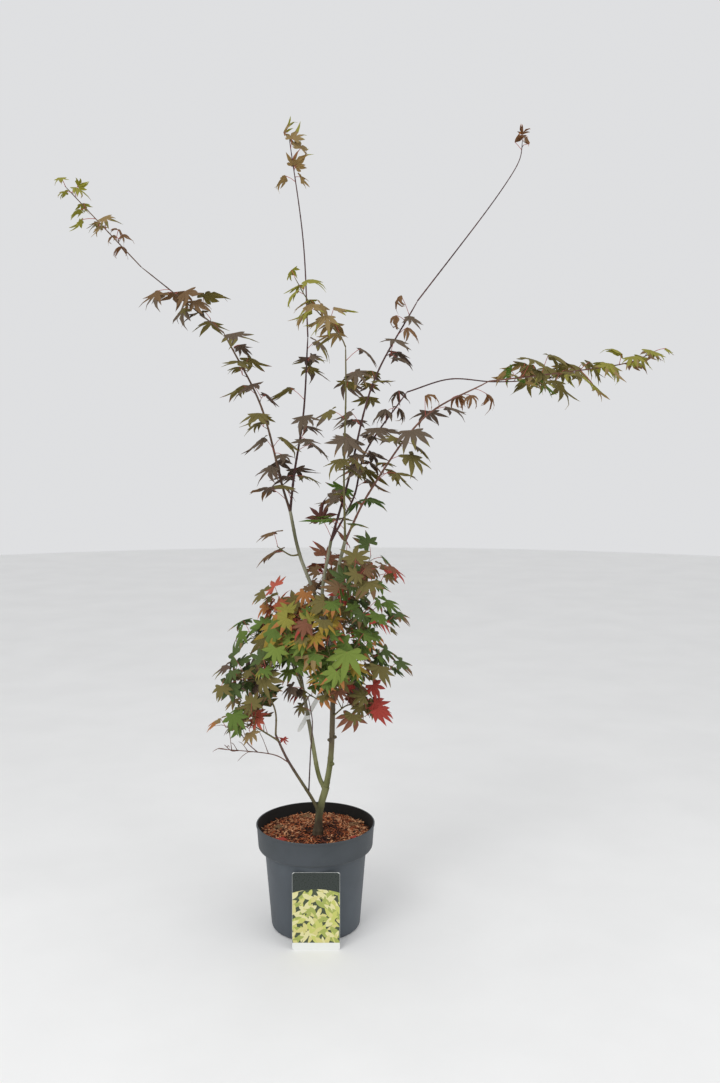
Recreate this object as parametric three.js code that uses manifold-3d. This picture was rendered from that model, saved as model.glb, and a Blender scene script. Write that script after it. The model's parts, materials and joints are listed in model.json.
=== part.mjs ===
// A young garden maple in a nursery pot, about two metres tall.
// Millimetres, +Z up, +Y to the back. The origin is the centre of the pot's flat underside.

import * as THREE from 'three';
import { mergeVertices } from 'three/addons/utils/BufferGeometryUtils.js';
import Module from 'manifold-3d';

const wasm = await Module();
wasm.setup();

// Pot, a tapered wall below a wider rim band
const POT_HEIGHT = 268;
const POT_FOOT_RADIUS = 113;
const POT_SHOULDER_RADIUS = 129.5;
const POT_SHOULDER_HEIGHT = 203;
const POT_SHOULDER_RISE = 2;
const POT_BAND_RADIUS = 145.6;
const POT_RIM_RADIUS = 151.2;
const POT_WALL = 2.4;
const POT_FLOOR = 4;
const POT_FOOT_CUT = [3, 4];
const POT_LIP_WIDTH = 2;
const POT_LIP_HEIGHT = 5;
const POT_SIDES = 28;
const DRAIN_HOLES = 6;
const DRAIN_HOLE_RADIUS = 7;
const DRAIN_RING_RADIUS = 84;

// Soil, level round the trunk and falling a little to the wall
const SOIL_LEVEL = 246;
const SOIL_LEVEL_RADIUS = 62;
const SOIL_EDGE = 238;

// Picture label, a card that leans on the wall under the band
const LABEL_WIDTH = 117;
const LABEL_HEIGHT = 189;
const LABEL_THICKNESS = 1.2;
const LABEL_CORNER = 5;
const LABEL_LEAN = THREE.MathUtils.degToRad(5.7);
const LABEL_SHIFT = 6;

// Slip tag on the left stem
const TAG_WIDTH = 12;
const TAG_THICKNESS = 1;
const TAG_COLLAR_HEIGHT = 10;
const TAG_SHARE = 0.62;
const TAG_REACH = [[16, 12, 604], [-44, 0, 500]];

// Clearance between neighbouring solids
const GAP = 0.34;

// Limbs from the soil up. Each runs through its points and tapers from one radius to the other.
const LIMBS = {
  trunk: {
    path: [[6, -30, SOIL_LEVEL + GAP], [12, -27, 309], [28, -20, 367]],
    radius: [9.6, 8.8], flare: 5, sides: 10,
  },
  main_stem: {
    path: [[28, -20, 367], [40, -8, 446], [45, 0, 586], [46, 0, 722]],
    radius: [7.6, 5.6], sides: 8,
  },
  left_stem: {
    path: [[27, -20, 358], [8, -12, 398], [-10, 4, 493], [-39, 18, 654]],
    radius: [5.8, 4.2], sides: 8,
  },
  low_left_bough: {
    path: [[11, -27, 299], [-8, -30, 341], [-66, -42, 441], [-96, -50, 510]],
    radius: [4.6, 2.6], sides: 7,
  },
  right_leader: {
    path: [[46, 0, 722], [48, -6, 800], [59, -19, 915], [77, -35, 994]],
    radius: [5.4, 4.2], sides: 7,
  },
  middle_leader: {
    path: [[46, 0, 700], [25, -5, 797], [20, -3, 870], [41, 10, 989]],
    radius: [4.6, 3.9], sides: 7,
  },
  left_leader: {
    path: [[46, 0, 648], [12, 26, 812], [-39, 34, 953], [-62, 34, 1062]],
    radius: [5.0, 4.1], sides: 7,
  },
};

// How fast the flare at the trunk's foot dies out
const FLARE_FALL = 7;

// Pruned stubs and the knot on the main stem: share of its length, heading in degrees, length, radius
const STUBS = [
  { along: 0.155, heading: -50, length: 7, radius: 4.2 },
  { along: 0.325, heading: -120, length: 9, radius: 3.8 },
  { along: 0.345, heading: -30, length: 6, radius: 3.6 },
];
const STUB_TAPER = 0.8;
const STUB_RISE = 0.5;

// Masses of foliage. Each has one stem from a share of its bough, bends and a tip, then its habit:
// twigs on the stem, the shares of the stem between which it has leaves, node spacing, leaf length,
// share of the leaf length lost at the tip, tilt of the blades from level in degrees, how far they turn
// to the light, and how strongly they hang.
const SHOOT = {
  radius: [3.3, 1.9], twigs: 0, leafed: [0.06, 0.93], spacing: 66, leaf: 76, shrink: 0.2,
  tilt: 16, light: 0.2, hang: 0.25,
};
const TIP = {
  radius: [1.9, 1.2], twigs: 0, leafed: [0.1, 1], spacing: 42, leaf: 50, shrink: 0.45,
  tilt: 25, light: 0.3, hang: 0.5,
};
const SPRAY = {
  radius: [2.4, 1.3], twigs: 3, leafed: [0.3, 1], spacing: 38, leaf: 72, shrink: 0.2,
  tilt: 48, light: 0.85, hang: 0.7,
};
const MASSES = {
  left_whip_lower: {
    from: ['left_leader', 1], bends: [[-82, 30, 1130], [-130, 0, 1324]], tip: [-212, -60, 1496], ...SHOOT,
  },
  left_whip_middle: {
    from: ['left_whip_lower', 1], bends: [[-288, -95, 1557]], tip: [-390, -138, 1638], ...TIP,
    leafed: [0.06, 0.66], leaf: 58,
  },
  left_whip_upper: {
    from: ['left_whip_middle', 1], bends: [[-452, -160, 1705]], tip: [-547, -190, 1808], ...TIP,
    radius: [1.4, 1], leaf: 38, shrink: 0.1, spacing: 34, leafed: [0.2, 1],
  },
  centre_whip_lower: {
    from: ['left_leader', 1], bends: [[-51, 45, 1160], [-28, 58, 1310]], tip: [-17, 68, 1497], ...SHOOT,
  },
  centre_whip_upper: {
    from: ['centre_whip_lower', 1], bends: [[-28, 80, 1734]], tip: [-62, 92, 1985], ...TIP,
    leafed: [0.78, 1], spacing: 30, leaf: 50, shrink: 0.2, tilt: 50, hang: -0.3,
  },
  tall_whip_lower: {
    from: ['middle_leader', 1], bends: [[84, 35, 1138], [147, 95, 1384]], tip: [263, 170, 1598], ...SHOOT,
  },
  tall_whip_upper: {
    from: ['tall_whip_lower', 1], bends: [[419, 240, 1802], [497, 272, 1910], [537, 284, 1978]],
    tip: [546, 292, 2032], ...TIP,
    leafed: [0.95, 1], spacing: 18, leaf: 52, shrink: 0.2, tilt: 78, light: 0, hang: -1.4,
  },
  arching_shoot_lower: {
    from: ['middle_leader', 1], bends: [[98, 20, 1098], [129, 35, 1213]], tip: [232, 72, 1360], ...SHOOT,
    radius: [2.9, 1.8],
  },
  arching_shoot_upper: {
    from: ['arching_shoot_lower', 1], bends: [[343, 105, 1394], [460, 128, 1388], [589, 150, 1396]],
    tip: [676, 158, 1415], ...TIP, leafed: [0.58, 1], leaf: 64, shrink: 0.2,
  },
  hooked_shoot_lower: {
    from: ['right_leader', 1], bends: [[75, -70, 1164], [80, -100, 1340]], tip: [80, -118, 1458], ...SHOOT,
    radius: [2.9, 1.8],
  },
  hooked_shoot_tip: {
    from: ['hooked_shoot_lower', 1], bends: [[64, -124, 1486], [-4, -131, 1560]], tip: [-37, -134, 1615],
    ...TIP, leaf: 58,
  },
  right_whip_lower: {
    from: ['right_leader', 1], bends: [[138, -52, 1117], [264, -85, 1292]], tip: [417, -105, 1379], ...SHOOT,
    radius: [2.9, 1.8],
  },
  right_whip_upper: {
    from: ['right_whip_lower', 1], bends: [[598, -118, 1400], [735, -127, 1420]], tip: [802, -130, 1448],
    ...TIP, leafed: [0.2, 1], leaf: 62, spacing: 46,
  },
  low_left_spray: {
    from: ['low_left_bough', 0.93], bends: [[-142, -70, 534]], tip: [-180, -86, 552], ...SPRAY,
  },
  low_left_top: {
    from: ['low_left_bough', 1], bends: [[-97, -55, 575], [-128, -68, 640]], tip: [-176, -80, 680], ...SPRAY,
  },
  bare_left_twigs: {
    from: ['low_left_bough', 0.66], bends: [[-110, -55, 463]], tip: [-236, -88, 486], ...SPRAY,
    radius: [1.5, 0.9], twigs: 2, leaf: 0,
  },
  inner_whip: {
    from: ['low_left_bough', 0.26], bends: [[-10, -36, 467], [-5, -44, 540]], tip: [-14, -66, 610], ...SPRAY,
    radius: [1.8, 1.1], twigs: 0, leafed: [0.84, 1], leaf: 42,
  },
  left_spray: {
    from: ['left_stem', 1], bends: [[-88, 20, 722]], tip: [-138, 24, 748], ...SPRAY,
  },
  left_front_spray: {
    from: ['left_stem', 0.9], bends: [[-56, -46, 700]], tip: [-74, -112, 742], ...SPRAY, twigs: 4,
  },
  left_top_spray: {
    from: ['left_stem', 1], bends: [[-50, 16, 760]], tip: [-88, 0, 838], ...SPRAY,
  },
  left_back_spray: {
    from: ['left_stem', 0.82], bends: [[-66, 84, 668]], tip: [-90, 150, 706], ...SPRAY, twigs: 2,
  },
  low_front_spray: {
    from: ['left_stem', 0.74], bends: [[-12, -36, 606]], tip: [8, -92, 612], ...SPRAY, twigs: 1, leaf: 52,
  },
  right_low_spray: {
    from: ['main_stem', 0.5], bends: [[80, -40, 582]], tip: [112, -64, 590], ...SPRAY,
  },
  right_spray: {
    from: ['main_stem', 0.78], bends: [[100, 10, 682]], tip: [156, 8, 700], ...SPRAY,
  },
  right_high_spray: {
    from: ['right_leader', 0.14], bends: [[94, -24, 798]], tip: [146, -40, 822], ...SPRAY,
  },
  front_spray: {
    from: ['main_stem', 0.8], bends: [[52, -66, 678]], tip: [58, -128, 696], ...SPRAY, twigs: 4,
  },
  front_high_spray: {
    from: ['right_leader', 0.12], bends: [[34, -56, 776]], tip: [16, -108, 794], ...SPRAY,
  },
  back_low_spray: {
    from: ['main_stem', 0.6], bends: [[64, 70, 610]], tip: [80, 132, 630], ...SPRAY, twigs: 2,
  },
  back_high_spray: {
    from: ['right_leader', 0.06], bends: [[54, 70, 762]], tip: [40, 140, 786], ...SPRAY,
  },
  top_right_spray: {
    from: ['right_leader', 0.5], bends: [[96, -34, 880]], tip: [136, -50, 912], ...SPRAY,
  },
  top_left_spray: {
    from: ['left_leader', 0.74], bends: [[-62, 24, 952]], tip: [-94, 8, 976], ...SPRAY, twigs: 0,
  },
  top_back_spray: {
    from: ['middle_leader', 0.5], bends: [[18, 50, 880]], tip: [20, 96, 900], ...SPRAY, twigs: 1,
  },
};

// Leaf: five lobes, each a heading in degrees and a share of the leaf length, with notches between
const LOBES = [[-82, 0.68], [-42, 0.92], [0, 1], [42, 0.92], [82, 0.68]];
const NOTCHES = [[-62, 0.4], [-21, 0.4], [21, 0.4], [62, 0.4]];
const BLADE_THICKNESS = 2.4;
const STALK_SHARE = [0.45, 0.9];
const HEEL = [150, 0.05];
const ROOT_HALF = 0.45;
const ROOT_RISE = 0.25;

// Point behind the middle of the crown that the blades turn away from, towards the light
const SHADE = new THREE.Vector3(10, 110, 0);

// Growth rule
const GOLDEN_ANGLE = THREE.MathUtils.degToRad(137.5);
const TWIG_ANGLE = THREE.MathUtils.degToRad(52);
const TWIG_LENGTH = 92;
const TWIG_PLACES = [0.34, 0.86];
const TWIG_SHORTENING = [1.1, 0.65];
const TWIG_VARIATION = [0.85, 1.15];
const TWIG_TURN = 0.8;
const TWIG_TURN_STEP = 0.9;
const TWIG_RADIUS = [1.4, 1.0];
const TWIG_RISE = 0.22;
const STOUT_RADIUS = 2.5;
const TWIG_LEAFED = [0.45, 1];
const LEAF_ANGLE = THREE.MathUtils.degToRad(62);
const TIP_LEAF_ANGLE = THREE.MathUtils.degToRad(38);
const TIP_LEAF_FROM = 0.95;
const LEAF_TURN = 0.35;
const LEAF_TURN_STEP = 0.12;
const LEAF_SIZES = [0.84, 1.12];
const LEAF_SIZE_STEP = 0.02;
const LEAF_TILT = 16;
const LEAF_ROLL = 0.35;
const LEAF_CURL = [0.16, 0.4];
const STALK_RISE = [0.1, 0.5];
const LEAF_NEAR = 40;
const TRIES = 24;
const TWIG_CLEARANCE = 10;
const LIMB_CLEARANCE = 3;
const SPACE_OVERLAP = 40;
const LEAF_CLEARANCE = 1;
const TIP_INSET = 2.5;
const LOBE_WIDTH = 0.12;
const CURVE_STEPS = 2;

const UP = new THREE.Vector3(0, 0, 1);
const toRadians = THREE.MathUtils.degToRad;
const mix = THREE.MathUtils.lerp;

// Solids

// Closed solid from a geometry whose shared vertices are merged by place
function toSolid(geometry) {
  const plain = geometry.clone();
  plain.deleteAttribute('normal');
  plain.deleteAttribute('uv');
  const merged = mergeVertices(plain, 1e-4);
  return new wasm.Manifold(new wasm.Mesh({
    numProp: 3,
    vertProperties: new Float32Array(merged.attributes.position.array),
    triVerts: new Uint32Array(merged.index.array),
  }));
}

// Geometry from a solid, with flat facets
function toGeometry(solid) {
  const mesh = solid.getMesh();
  const geometry = new THREE.BufferGeometry();
  geometry.setAttribute('position', new THREE.BufferAttribute(new Float32Array(mesh.vertProperties), 3));
  geometry.setIndex(new THREE.BufferAttribute(new Uint32Array(mesh.triVerts), 1));
  geometry.computeVertexNormals();
  return geometry;
}

// The largest piece of a solid, so that scraps and sealed hollows are dropped
function largestPiece(solid) {
  const pieces = solid.decompose();
  return pieces.reduce((best, piece) => (piece.volume() > best.volume() ? piece : best));
}

// Paths

const vectors = (points) => points.map(([x, y, z]) => new THREE.Vector3(x, y, z));

// Smooth path through a few points, as a Catmull-Rom curve with mirrored ends
function smoothPath(points, steps = CURVE_STEPS) {
  const at = vectors(points);
  const first = at[0].clone().multiplyScalar(2).sub(at[1]);
  const last = at.at(-1).clone().multiplyScalar(2).sub(at.at(-2));
  const knots = [first, ...at, last];
  const path = [];
  for (let span = 1; span < knots.length - 2; span += 1) {
    for (let step = 0; step < steps; step += 1) {
      path.push(catmullRom(knots, span, step / steps));
    }
  }
  path.push(at.at(-1));
  return path;
}

function catmullRom(knots, span, t) {
  const [a, b, c, d] = knots.slice(span - 1, span + 3);
  const blend = (p, q, r, s) => 0.5 * (2 * q + (r - p) * t + (2 * p - 5 * q + 4 * r - s) * t * t
    + (3 * q - p - 3 * r + s) * t * t * t);
  return new THREE.Vector3(blend(a.x, b.x, c.x, d.x), blend(a.y, b.y, c.y, d.y), blend(a.z, b.z, c.z, d.z));
}

function pathLength(path) {
  let length = 0;
  for (let i = 1; i < path.length; i += 1) {
    length += path[i].distanceTo(path[i - 1]);
  }
  return length;
}

// Point and heading at a share of the path's length
function alongPath(path, share) {
  let left = share * pathLength(path);
  for (let i = 1; i < path.length; i += 1) {
    const span = path[i].distanceTo(path[i - 1]);
    if (left <= span || i === path.length - 1) {
      const heading = path[i].clone().sub(path[i - 1]).divideScalar(span);
      return { point: path[i - 1].clone().addScaledVector(heading, left), heading };
    }
    left -= span;
  }
  return null;
}

// Side and lift directions square to a heading
function squareTo(heading) {
  const reference = Math.abs(heading.z) > 0.9 ? new THREE.Vector3(0, 1, 0) : UP;
  const side = heading.clone().cross(reference).normalize();
  return { side, lift: side.clone().cross(heading) };
}

function aroundHeading(heading, angle) {
  const { side, lift } = squareTo(heading);
  return side.multiplyScalar(Math.cos(angle)).addScaledVector(lift, Math.sin(angle));
}

// Limbs

const flareAt = (share) => Math.exp(-share * FLARE_FALL);

function limbRadius(limb, share) {
  return mix(limb.radius[0], limb.radius[1], share) + (limb.flare ?? 0) * flareAt(share);
}

// Tapered limb: a closed cylinder whose rings are moved onto the path, with room round it if asked
function limbSolid(limb, room = 0) {
  const steps = limb.route.length - 1;
  const geometry = new THREE.CylinderGeometry(1, 1, 1, limb.sides, steps);
  const position = geometry.attributes.position;
  const rings = limbRings(limb, room);
  const at = new THREE.Vector3();
  for (let i = 0; i < position.count; i += 1) {
    const ring = rings[Math.round((position.getY(i) + 0.5) * steps)];
    at.copy(ring.centre);
    at.addScaledVector(ring.side, position.getX(i) * ring.radius);
    at.addScaledVector(ring.lift, position.getZ(i) * ring.radius);
    position.setXYZ(i, at.x, at.y, at.z);
  }
  return toSolid(geometry);
}

function limbRings(limb, room) {
  const route = limb.route;
  const last = route.length - 1;
  let side = null;
  return route.map((point, i) => {
    const heading = route[Math.min(i + 1, last)].clone().sub(route[Math.max(i - 1, 0)]).normalize();
    if (limb.flare && i === 0) {
      heading.copy(UP);
    }
    side = side
      ? side.clone().addScaledVector(heading, -side.dot(heading)).normalize()
      : squareTo(heading).side;
    const centre = point.clone();
    if (i === 0 || i === last) {
      centre.addScaledVector(heading, i === 0 ? -room : room);
    }
    return { centre, side, lift: side.clone().cross(heading), radius: limbRadius(limb, i / last) + room };
  });
}

function addStubs(stem, solid) {
  const stubs = STUBS.map((stub) => {
    const { point } = alongPath(stem.route, stub.along);
    const turn = toRadians(stub.heading);
    const out = new THREE.Vector3(Math.cos(turn), Math.sin(turn), STUB_RISE);
    const end = point.clone().addScaledVector(out.normalize(), stub.length + stem.radius[0]);
    return limbSolid({ route: [point, end], radius: [stub.radius + STUB_TAPER, stub.radius], sides: 6 });
  });
  return wasm.Manifold.union([solid, ...stubs]);
}

// Growth

// Even, repeatable numbers from 0 to 1
function seededRandom(seed) {
  let state = (seed * 7919 + 12345) % 2147483647;
  const next = () => {
    state = (state * 16807) % 2147483647;
    return state / 2147483647;
  };
  next();
  next();
  return next;
}

// Distance from a point to the skin of a limb or twig
function skinDistance(point, limb) {
  const nearest = new THREE.Vector3();
  const line = new THREE.Line3();
  const last = limb.route.length - 1;
  let least = Infinity;
  for (let i = 0; i < last; i += 1) {
    line.set(limb.route[i], limb.route[i + 1]);
    line.closestPointToPoint(point, true, nearest);
    least = Math.min(least, nearest.distanceTo(point) - limbRadius(limb, i / last));
  }
  return least;
}

const leastDistance = (point, limbs) => Math.min(...limbs.map((limb) => skinDistance(point, limb)));

// Stem of a mass, from the tip of its bough or from inside its flank
function growStem(mass, parent) {
  const atTip = mass.from[1] === 1;
  const { point, heading } = alongPath(parent.route, mass.from[1]);
  const start = atTip ? point.addScaledVector(heading, GAP) : point;
  const route = smoothPath([start.toArray(), ...mass.bends, mass.tip]);
  const sides = mass.radius[0] > STOUT_RADIUS ? 5 : 3;
  return { route, radius: mass.radius, sides };
}

// Side twigs go round the stem by the golden angle and rise a little towards their tips
function growTwigs(mass, index, others) {
  const twigs = [];
  for (let k = 0; k < mass.twigs; k += 1) {
    const random = seededRandom(index * 100 + k);
    const share = mix(...TWIG_PLACES, (k + 0.5) / mass.twigs);
    const { point, heading } = alongPath(mass.stem.route, share);
    const length = TWIG_LENGTH * mix(...TWIG_SHORTENING, share) * mix(...TWIG_VARIATION, random());
    const turn = k * GOLDEN_ANGLE + random() * TWIG_TURN;
    for (let attempt = 0; attempt < TRIES; attempt += 1) {
      const out = aroundHeading(heading, turn + attempt * TWIG_TURN_STEP);
      const aim = heading.clone().multiplyScalar(Math.cos(TWIG_ANGLE));
      aim.addScaledVector(out, Math.sin(TWIG_ANGLE));
      const middle = point.clone().addScaledVector(aim, length * 0.5);
      const tip = point.clone().addScaledVector(aim, length).addScaledVector(UP, length * TWIG_RISE);
      const twig = { route: [point, middle, tip], radius: TWIG_RADIUS, sides: 3 };
      const clear = Math.min(leastDistance(middle, others), leastDistance(tip, others));
      if (clear > TWIG_CLEARANCE) {
        twigs.push(twig);
        break;
      }
    }
  }
  return twigs;
}

// Leaves stand in opposite pairs, each pair a quarter turn from the last, up to the twig's tip
function growLeaves(mass, index, world) {
  const leaves = [];
  if (mass.leaf === 0) {
    return leaves;
  }
  [mass.stem, ...mass.side].forEach((twig, twigIndex) => {
    const [first, last] = twigIndex === 0 ? mass.leafed : TWIG_LEAFED;
    const nodes = 1 + Math.round(pathLength(twig.route) * (last - first) / mass.spacing);
    for (let node = 0; node < nodes; node += 1) {
      const share = nodes === 1 ? last : mix(first, last, node / (nodes - 1));
      for (const hand of [0, 1]) {
        const seed = ((index * 10 + twigIndex) * 40 + node) * 2 + hand;
        const leaf = placeLeaf(mass, twig, share, node, hand, seededRandom(seed), world);
        if (leaf) {
          leaves.push(leaf);
          world.leaves.push(leaf);
        }
      }
    }
  });
  return leaves;
}

// A leaf turns and shrinks a little at each try, and is skipped if it never keeps to its space
function placeLeaf(mass, twig, share, node, hand, random, world) {
  const { point, heading } = alongPath(twig.route, Math.min(share, 1 - TIP_INSET / pathLength(twig.route)));
  const angle = share > TIP_LEAF_FROM ? TIP_LEAF_ANGLE : LEAF_ANGLE;
  const turn = node * Math.PI / 2 + hand * Math.PI + mix(-LEAF_TURN, LEAF_TURN, random());
  const size = mass.leaf * mix(...LEAF_SIZES, random()) * (1 - mass.shrink * share * share);
  const pose = {
    tilt: toRadians(mass.tilt + mix(-LEAF_TILT, LEAF_TILT, random())),
    roll: mix(-LEAF_ROLL, LEAF_ROLL, random()),
    curl: mix(...LEAF_CURL, random()),
  };
  for (let attempt = 0; attempt < TRIES; attempt += 1) {
    const out = aroundHeading(heading, turn + mix(-LEAF_TURN_STEP, LEAF_TURN_STEP, random()) * attempt);
    const stalk = heading.clone().multiplyScalar(Math.cos(angle)).addScaledVector(out, Math.sin(angle));
    stalk.addScaledVector(UP, mix(...STALK_RISE, random())).normalize();
    const length = size * (1 - LEAF_SIZE_STEP * attempt);
    const reach = length * mix(...STALK_SHARE, random());
    const leaf = leafFrame(point, stalk, reach, length, pose, mass);
    if (keepsToItsSpace(leaf, mass, world)) {
      return { ...leaf, rootSize: limbRadius(twig, share) };
    }
  }
  return null;
}

// Frame of a leaf: root in the twig, base of the blade, and the blade's length, width and normal
function leafFrame(root, stalk, reach, length, pose, mass) {
  const base = root.clone().addScaledVector(stalk, reach);
  const level = new THREE.Vector3(stalk.x, stalk.y, 0).normalize();
  const lit = new THREE.Vector3(base.x - SHADE.x, base.y - SHADE.y, 0).normalize();
  const facing = level.multiplyScalar(1 - mass.light).addScaledVector(lit, mass.light).normalize();
  const face = facing.multiplyScalar(Math.sin(pose.tilt)).addScaledVector(UP, Math.cos(pose.tilt));
  const drawn = stalk.clone().addScaledVector(UP, -mass.hang);
  const along = drawn.addScaledVector(face, -drawn.dot(face)).normalize();
  const wide = face.clone().cross(along);
  const normal = face.multiplyScalar(Math.cos(pose.roll)).addScaledVector(wide, Math.sin(pose.roll));
  return { root, base, along, across: normal.clone().cross(along), normal, length, curl: pose.curl };
}

// Point of the blade at a heading and a share of its length, hanging lower towards the tips
function bladePoint(leaf, heading, share) {
  const reach = share * leaf.length;
  const angle = toRadians(heading);
  return leaf.base.clone()
    .addScaledVector(leaf.along, reach * Math.cos(angle))
    .addScaledVector(leaf.across, reach * Math.sin(angle))
    .addScaledVector(leaf.normal, -leaf.curl * share * share * leaf.length);
}

// The lobes, the web between them and the stalk of a leaf as lines whose width follows the leaf's length
function leafLines(leaf) {
  const radius = [LOBE_WIDTH * leaf.length / 2, 1];
  const rays = [...LOBES, ...NOTCHES].map(([heading, share]) => {
    return { from: leaf.base, to: bladePoint(leaf, heading, share), radius };
  });
  return [...rays, { from: leaf.base, to: leaf.root, radius: [1, 1] }];
}

// The spans of a limb as lines with a width
function limbLines(limb) {
  const last = limb.route.length - 1;
  return limb.route.slice(1).map((to, i) => {
    const radius = [limbRadius(limb, i / last), limbRadius(limb, (i + 1) / last)];
    return { from: limb.route[i], to, radius };
  });
}

// Room between two lines with a width, where they come nearest
function roomBetween(a, b) {
  const u = a.to.clone().sub(a.from);
  const v = b.to.clone().sub(b.from);
  const w = a.from.clone().sub(b.from);
  const [uu, uv, vv, uw, vw] = [u.dot(u), u.dot(v), v.dot(v), u.dot(w), v.dot(w)];
  const square = uu * vv - uv * uv;
  const clamp = (value) => THREE.MathUtils.clamp(value, 0, 1);
  let s = square > 1e-9 ? clamp((uv * vw - vv * uw) / square) : 0;
  const t = clamp((uv * s + vw) / vv);
  s = clamp((uv * t - uw) / uu);
  const apart = w.addScaledVector(u, s).addScaledVector(v, -t).length();
  return apart - mix(a.radius[0], a.radius[1], s) - mix(b.radius[0], b.radius[1], t);
}

// True where a leaf stays about its own mass, clear of limbs, other twigs and all leaves so far
function keepsToItsSpace(leaf, mass, world) {
  const lines = leafLines(leaf);
  const clear = (others, room) => others.every((other) => {
    return lines.every((line) => roomBetween(line, other) > room);
  });
  const near = world.leaves.filter((other) => {
    return other.base.distanceTo(leaf.base) < leaf.length + other.length + LEAF_NEAR;
  });
  const own = [mass.stem, ...mass.side];
  const others = world.othersOf(mass);
  return lines.every(({ to }) => leastDistance(to, others) - leastDistance(to, own) > -SPACE_OVERLAP)
    && clear(world.limbs.flatMap(limbLines), LIMB_CLEARANCE)
    && clear(others.flatMap(limbLines), LEAF_CLEARANCE)
    && near.every((other) => clear(leafLines(other), LEAF_CLEARANCE));
}

// Leaf solid: a top and an underside pole, a rim of tips and notches, and a stalk with a blunt root
function leafSolid(leaf) {
  const half = BLADE_THICKNESS / 2;
  const top = leaf.base.clone().addScaledVector(leaf.normal, half);
  const under = leaf.base.clone().addScaledVector(leaf.normal, -half);
  const rim = [bladePoint(leaf, -HEEL[0], HEEL[1])];
  LOBES.forEach((lobe, i) => {
    rim.push(bladePoint(leaf, ...lobe));
    if (i < NOTCHES.length) {
      rim.push(bladePoint(leaf, ...NOTCHES[i]));
    }
  });
  rim.push(bladePoint(leaf, ...HEEL));
  const stalk = leaf.base.clone().sub(leaf.root).normalize();
  const rise = leaf.across.clone().cross(stalk).normalize().negate();
  const side = (shift, lift) => leaf.root.clone()
    .addScaledVector(leaf.across, shift * leaf.rootSize)
    .addScaledVector(rise, lift * leaf.rootSize);
  const root = [side(-ROOT_HALF, ROOT_RISE), side(ROOT_HALF, ROOT_RISE), side(0, -ROOT_HALF)];
  const points = [top, under, ...rim, ...root];
  const last = rim.length + 1;
  const [rootLeft, rootRight, rootLow] = [last + 1, last + 2, last + 3];
  const faces = [[0, last, rootRight], [0, rootRight, rootLeft], [0, rootLeft, 2], [1, 2, rootLeft],
    [1, rootLeft, rootLow], [1, rootLow, rootRight], [1, rootRight, last], [rootLeft, rootRight, rootLow]];
  for (let i = 2; i < last; i += 1) {
    faces.push([0, i, i + 1], [1, i + 1, i]);
  }
  return new wasm.Manifold(new wasm.Mesh({
    numProp: 3,
    vertProperties: new Float32Array(points.flatMap((point) => point.toArray())),
    triVerts: new Uint32Array(faces.flat()),
  }));
}

// Made pieces

function lathed(profile) {
  const outline = profile.map(([radius, height]) => new THREE.Vector2(radius, height));
  const geometry = new THREE.LatheGeometry(outline, POT_SIDES);
  geometry.rotateX(Math.PI / 2);
  return toSolid(geometry);
}

const POT_BAND_HEIGHT = POT_SHOULDER_HEIGHT + POT_SHOULDER_RISE;
const wallRadius = (height) => mix(POT_FOOT_RADIUS, POT_SHOULDER_RADIUS, height / POT_SHOULDER_HEIGHT);

function potSolid() {
  const inner = POT_WALL;
  const shell = lathed([
    [0, 0], [POT_FOOT_RADIUS - POT_FOOT_CUT[0], 0], [wallRadius(POT_FOOT_CUT[1]), POT_FOOT_CUT[1]],
    [POT_SHOULDER_RADIUS, POT_SHOULDER_HEIGHT], [POT_BAND_RADIUS, POT_BAND_HEIGHT],
    [POT_RIM_RADIUS - POT_LIP_WIDTH, POT_HEIGHT - POT_LIP_HEIGHT],
    [POT_RIM_RADIUS, POT_HEIGHT - POT_LIP_HEIGHT], [POT_RIM_RADIUS, POT_HEIGHT],
    [POT_RIM_RADIUS - POT_LIP_WIDTH - inner, POT_HEIGHT],
    [POT_BAND_RADIUS - inner, POT_BAND_HEIGHT + inner],
    [POT_SHOULDER_RADIUS - inner, POT_SHOULDER_HEIGHT + inner],
    [wallRadius(POT_FLOOR) - inner, POT_FLOOR], [0, POT_FLOOR],
  ]);
  const holes = Array.from({ length: DRAIN_HOLES }, (_, i) => {
    const hole = new THREE.CylinderGeometry(DRAIN_HOLE_RADIUS, DRAIN_HOLE_RADIUS, POT_FLOOR * 3, 8);
    hole.rotateX(Math.PI / 2);
    const turn = (i + 0.5) * 2 * Math.PI / DRAIN_HOLES;
    hole.translate(DRAIN_RING_RADIUS * Math.cos(turn), DRAIN_RING_RADIUS * Math.sin(turn), 0);
    return toSolid(hole);
  });
  return shell.subtract(wasm.Manifold.union(holes));
}

function soilSolid() {
  const gap = POT_WALL + GAP;
  const risen = (SOIL_EDGE - POT_BAND_HEIGHT) / (POT_HEIGHT - POT_BAND_HEIGHT);
  const bandAtEdge = mix(POT_BAND_RADIUS, POT_RIM_RADIUS - POT_LIP_WIDTH, risen);
  return lathed([
    [0, POT_FLOOR + GAP], [wallRadius(POT_FLOOR) - gap, POT_FLOOR + GAP],
    [POT_SHOULDER_RADIUS - gap, POT_SHOULDER_HEIGHT + gap],
    [POT_BAND_RADIUS - gap, POT_BAND_HEIGHT + gap],
    [bandAtEdge - gap, SOIL_EDGE], [SOIL_LEVEL_RADIUS, SOIL_LEVEL], [0, SOIL_LEVEL],
  ]);
}

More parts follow.
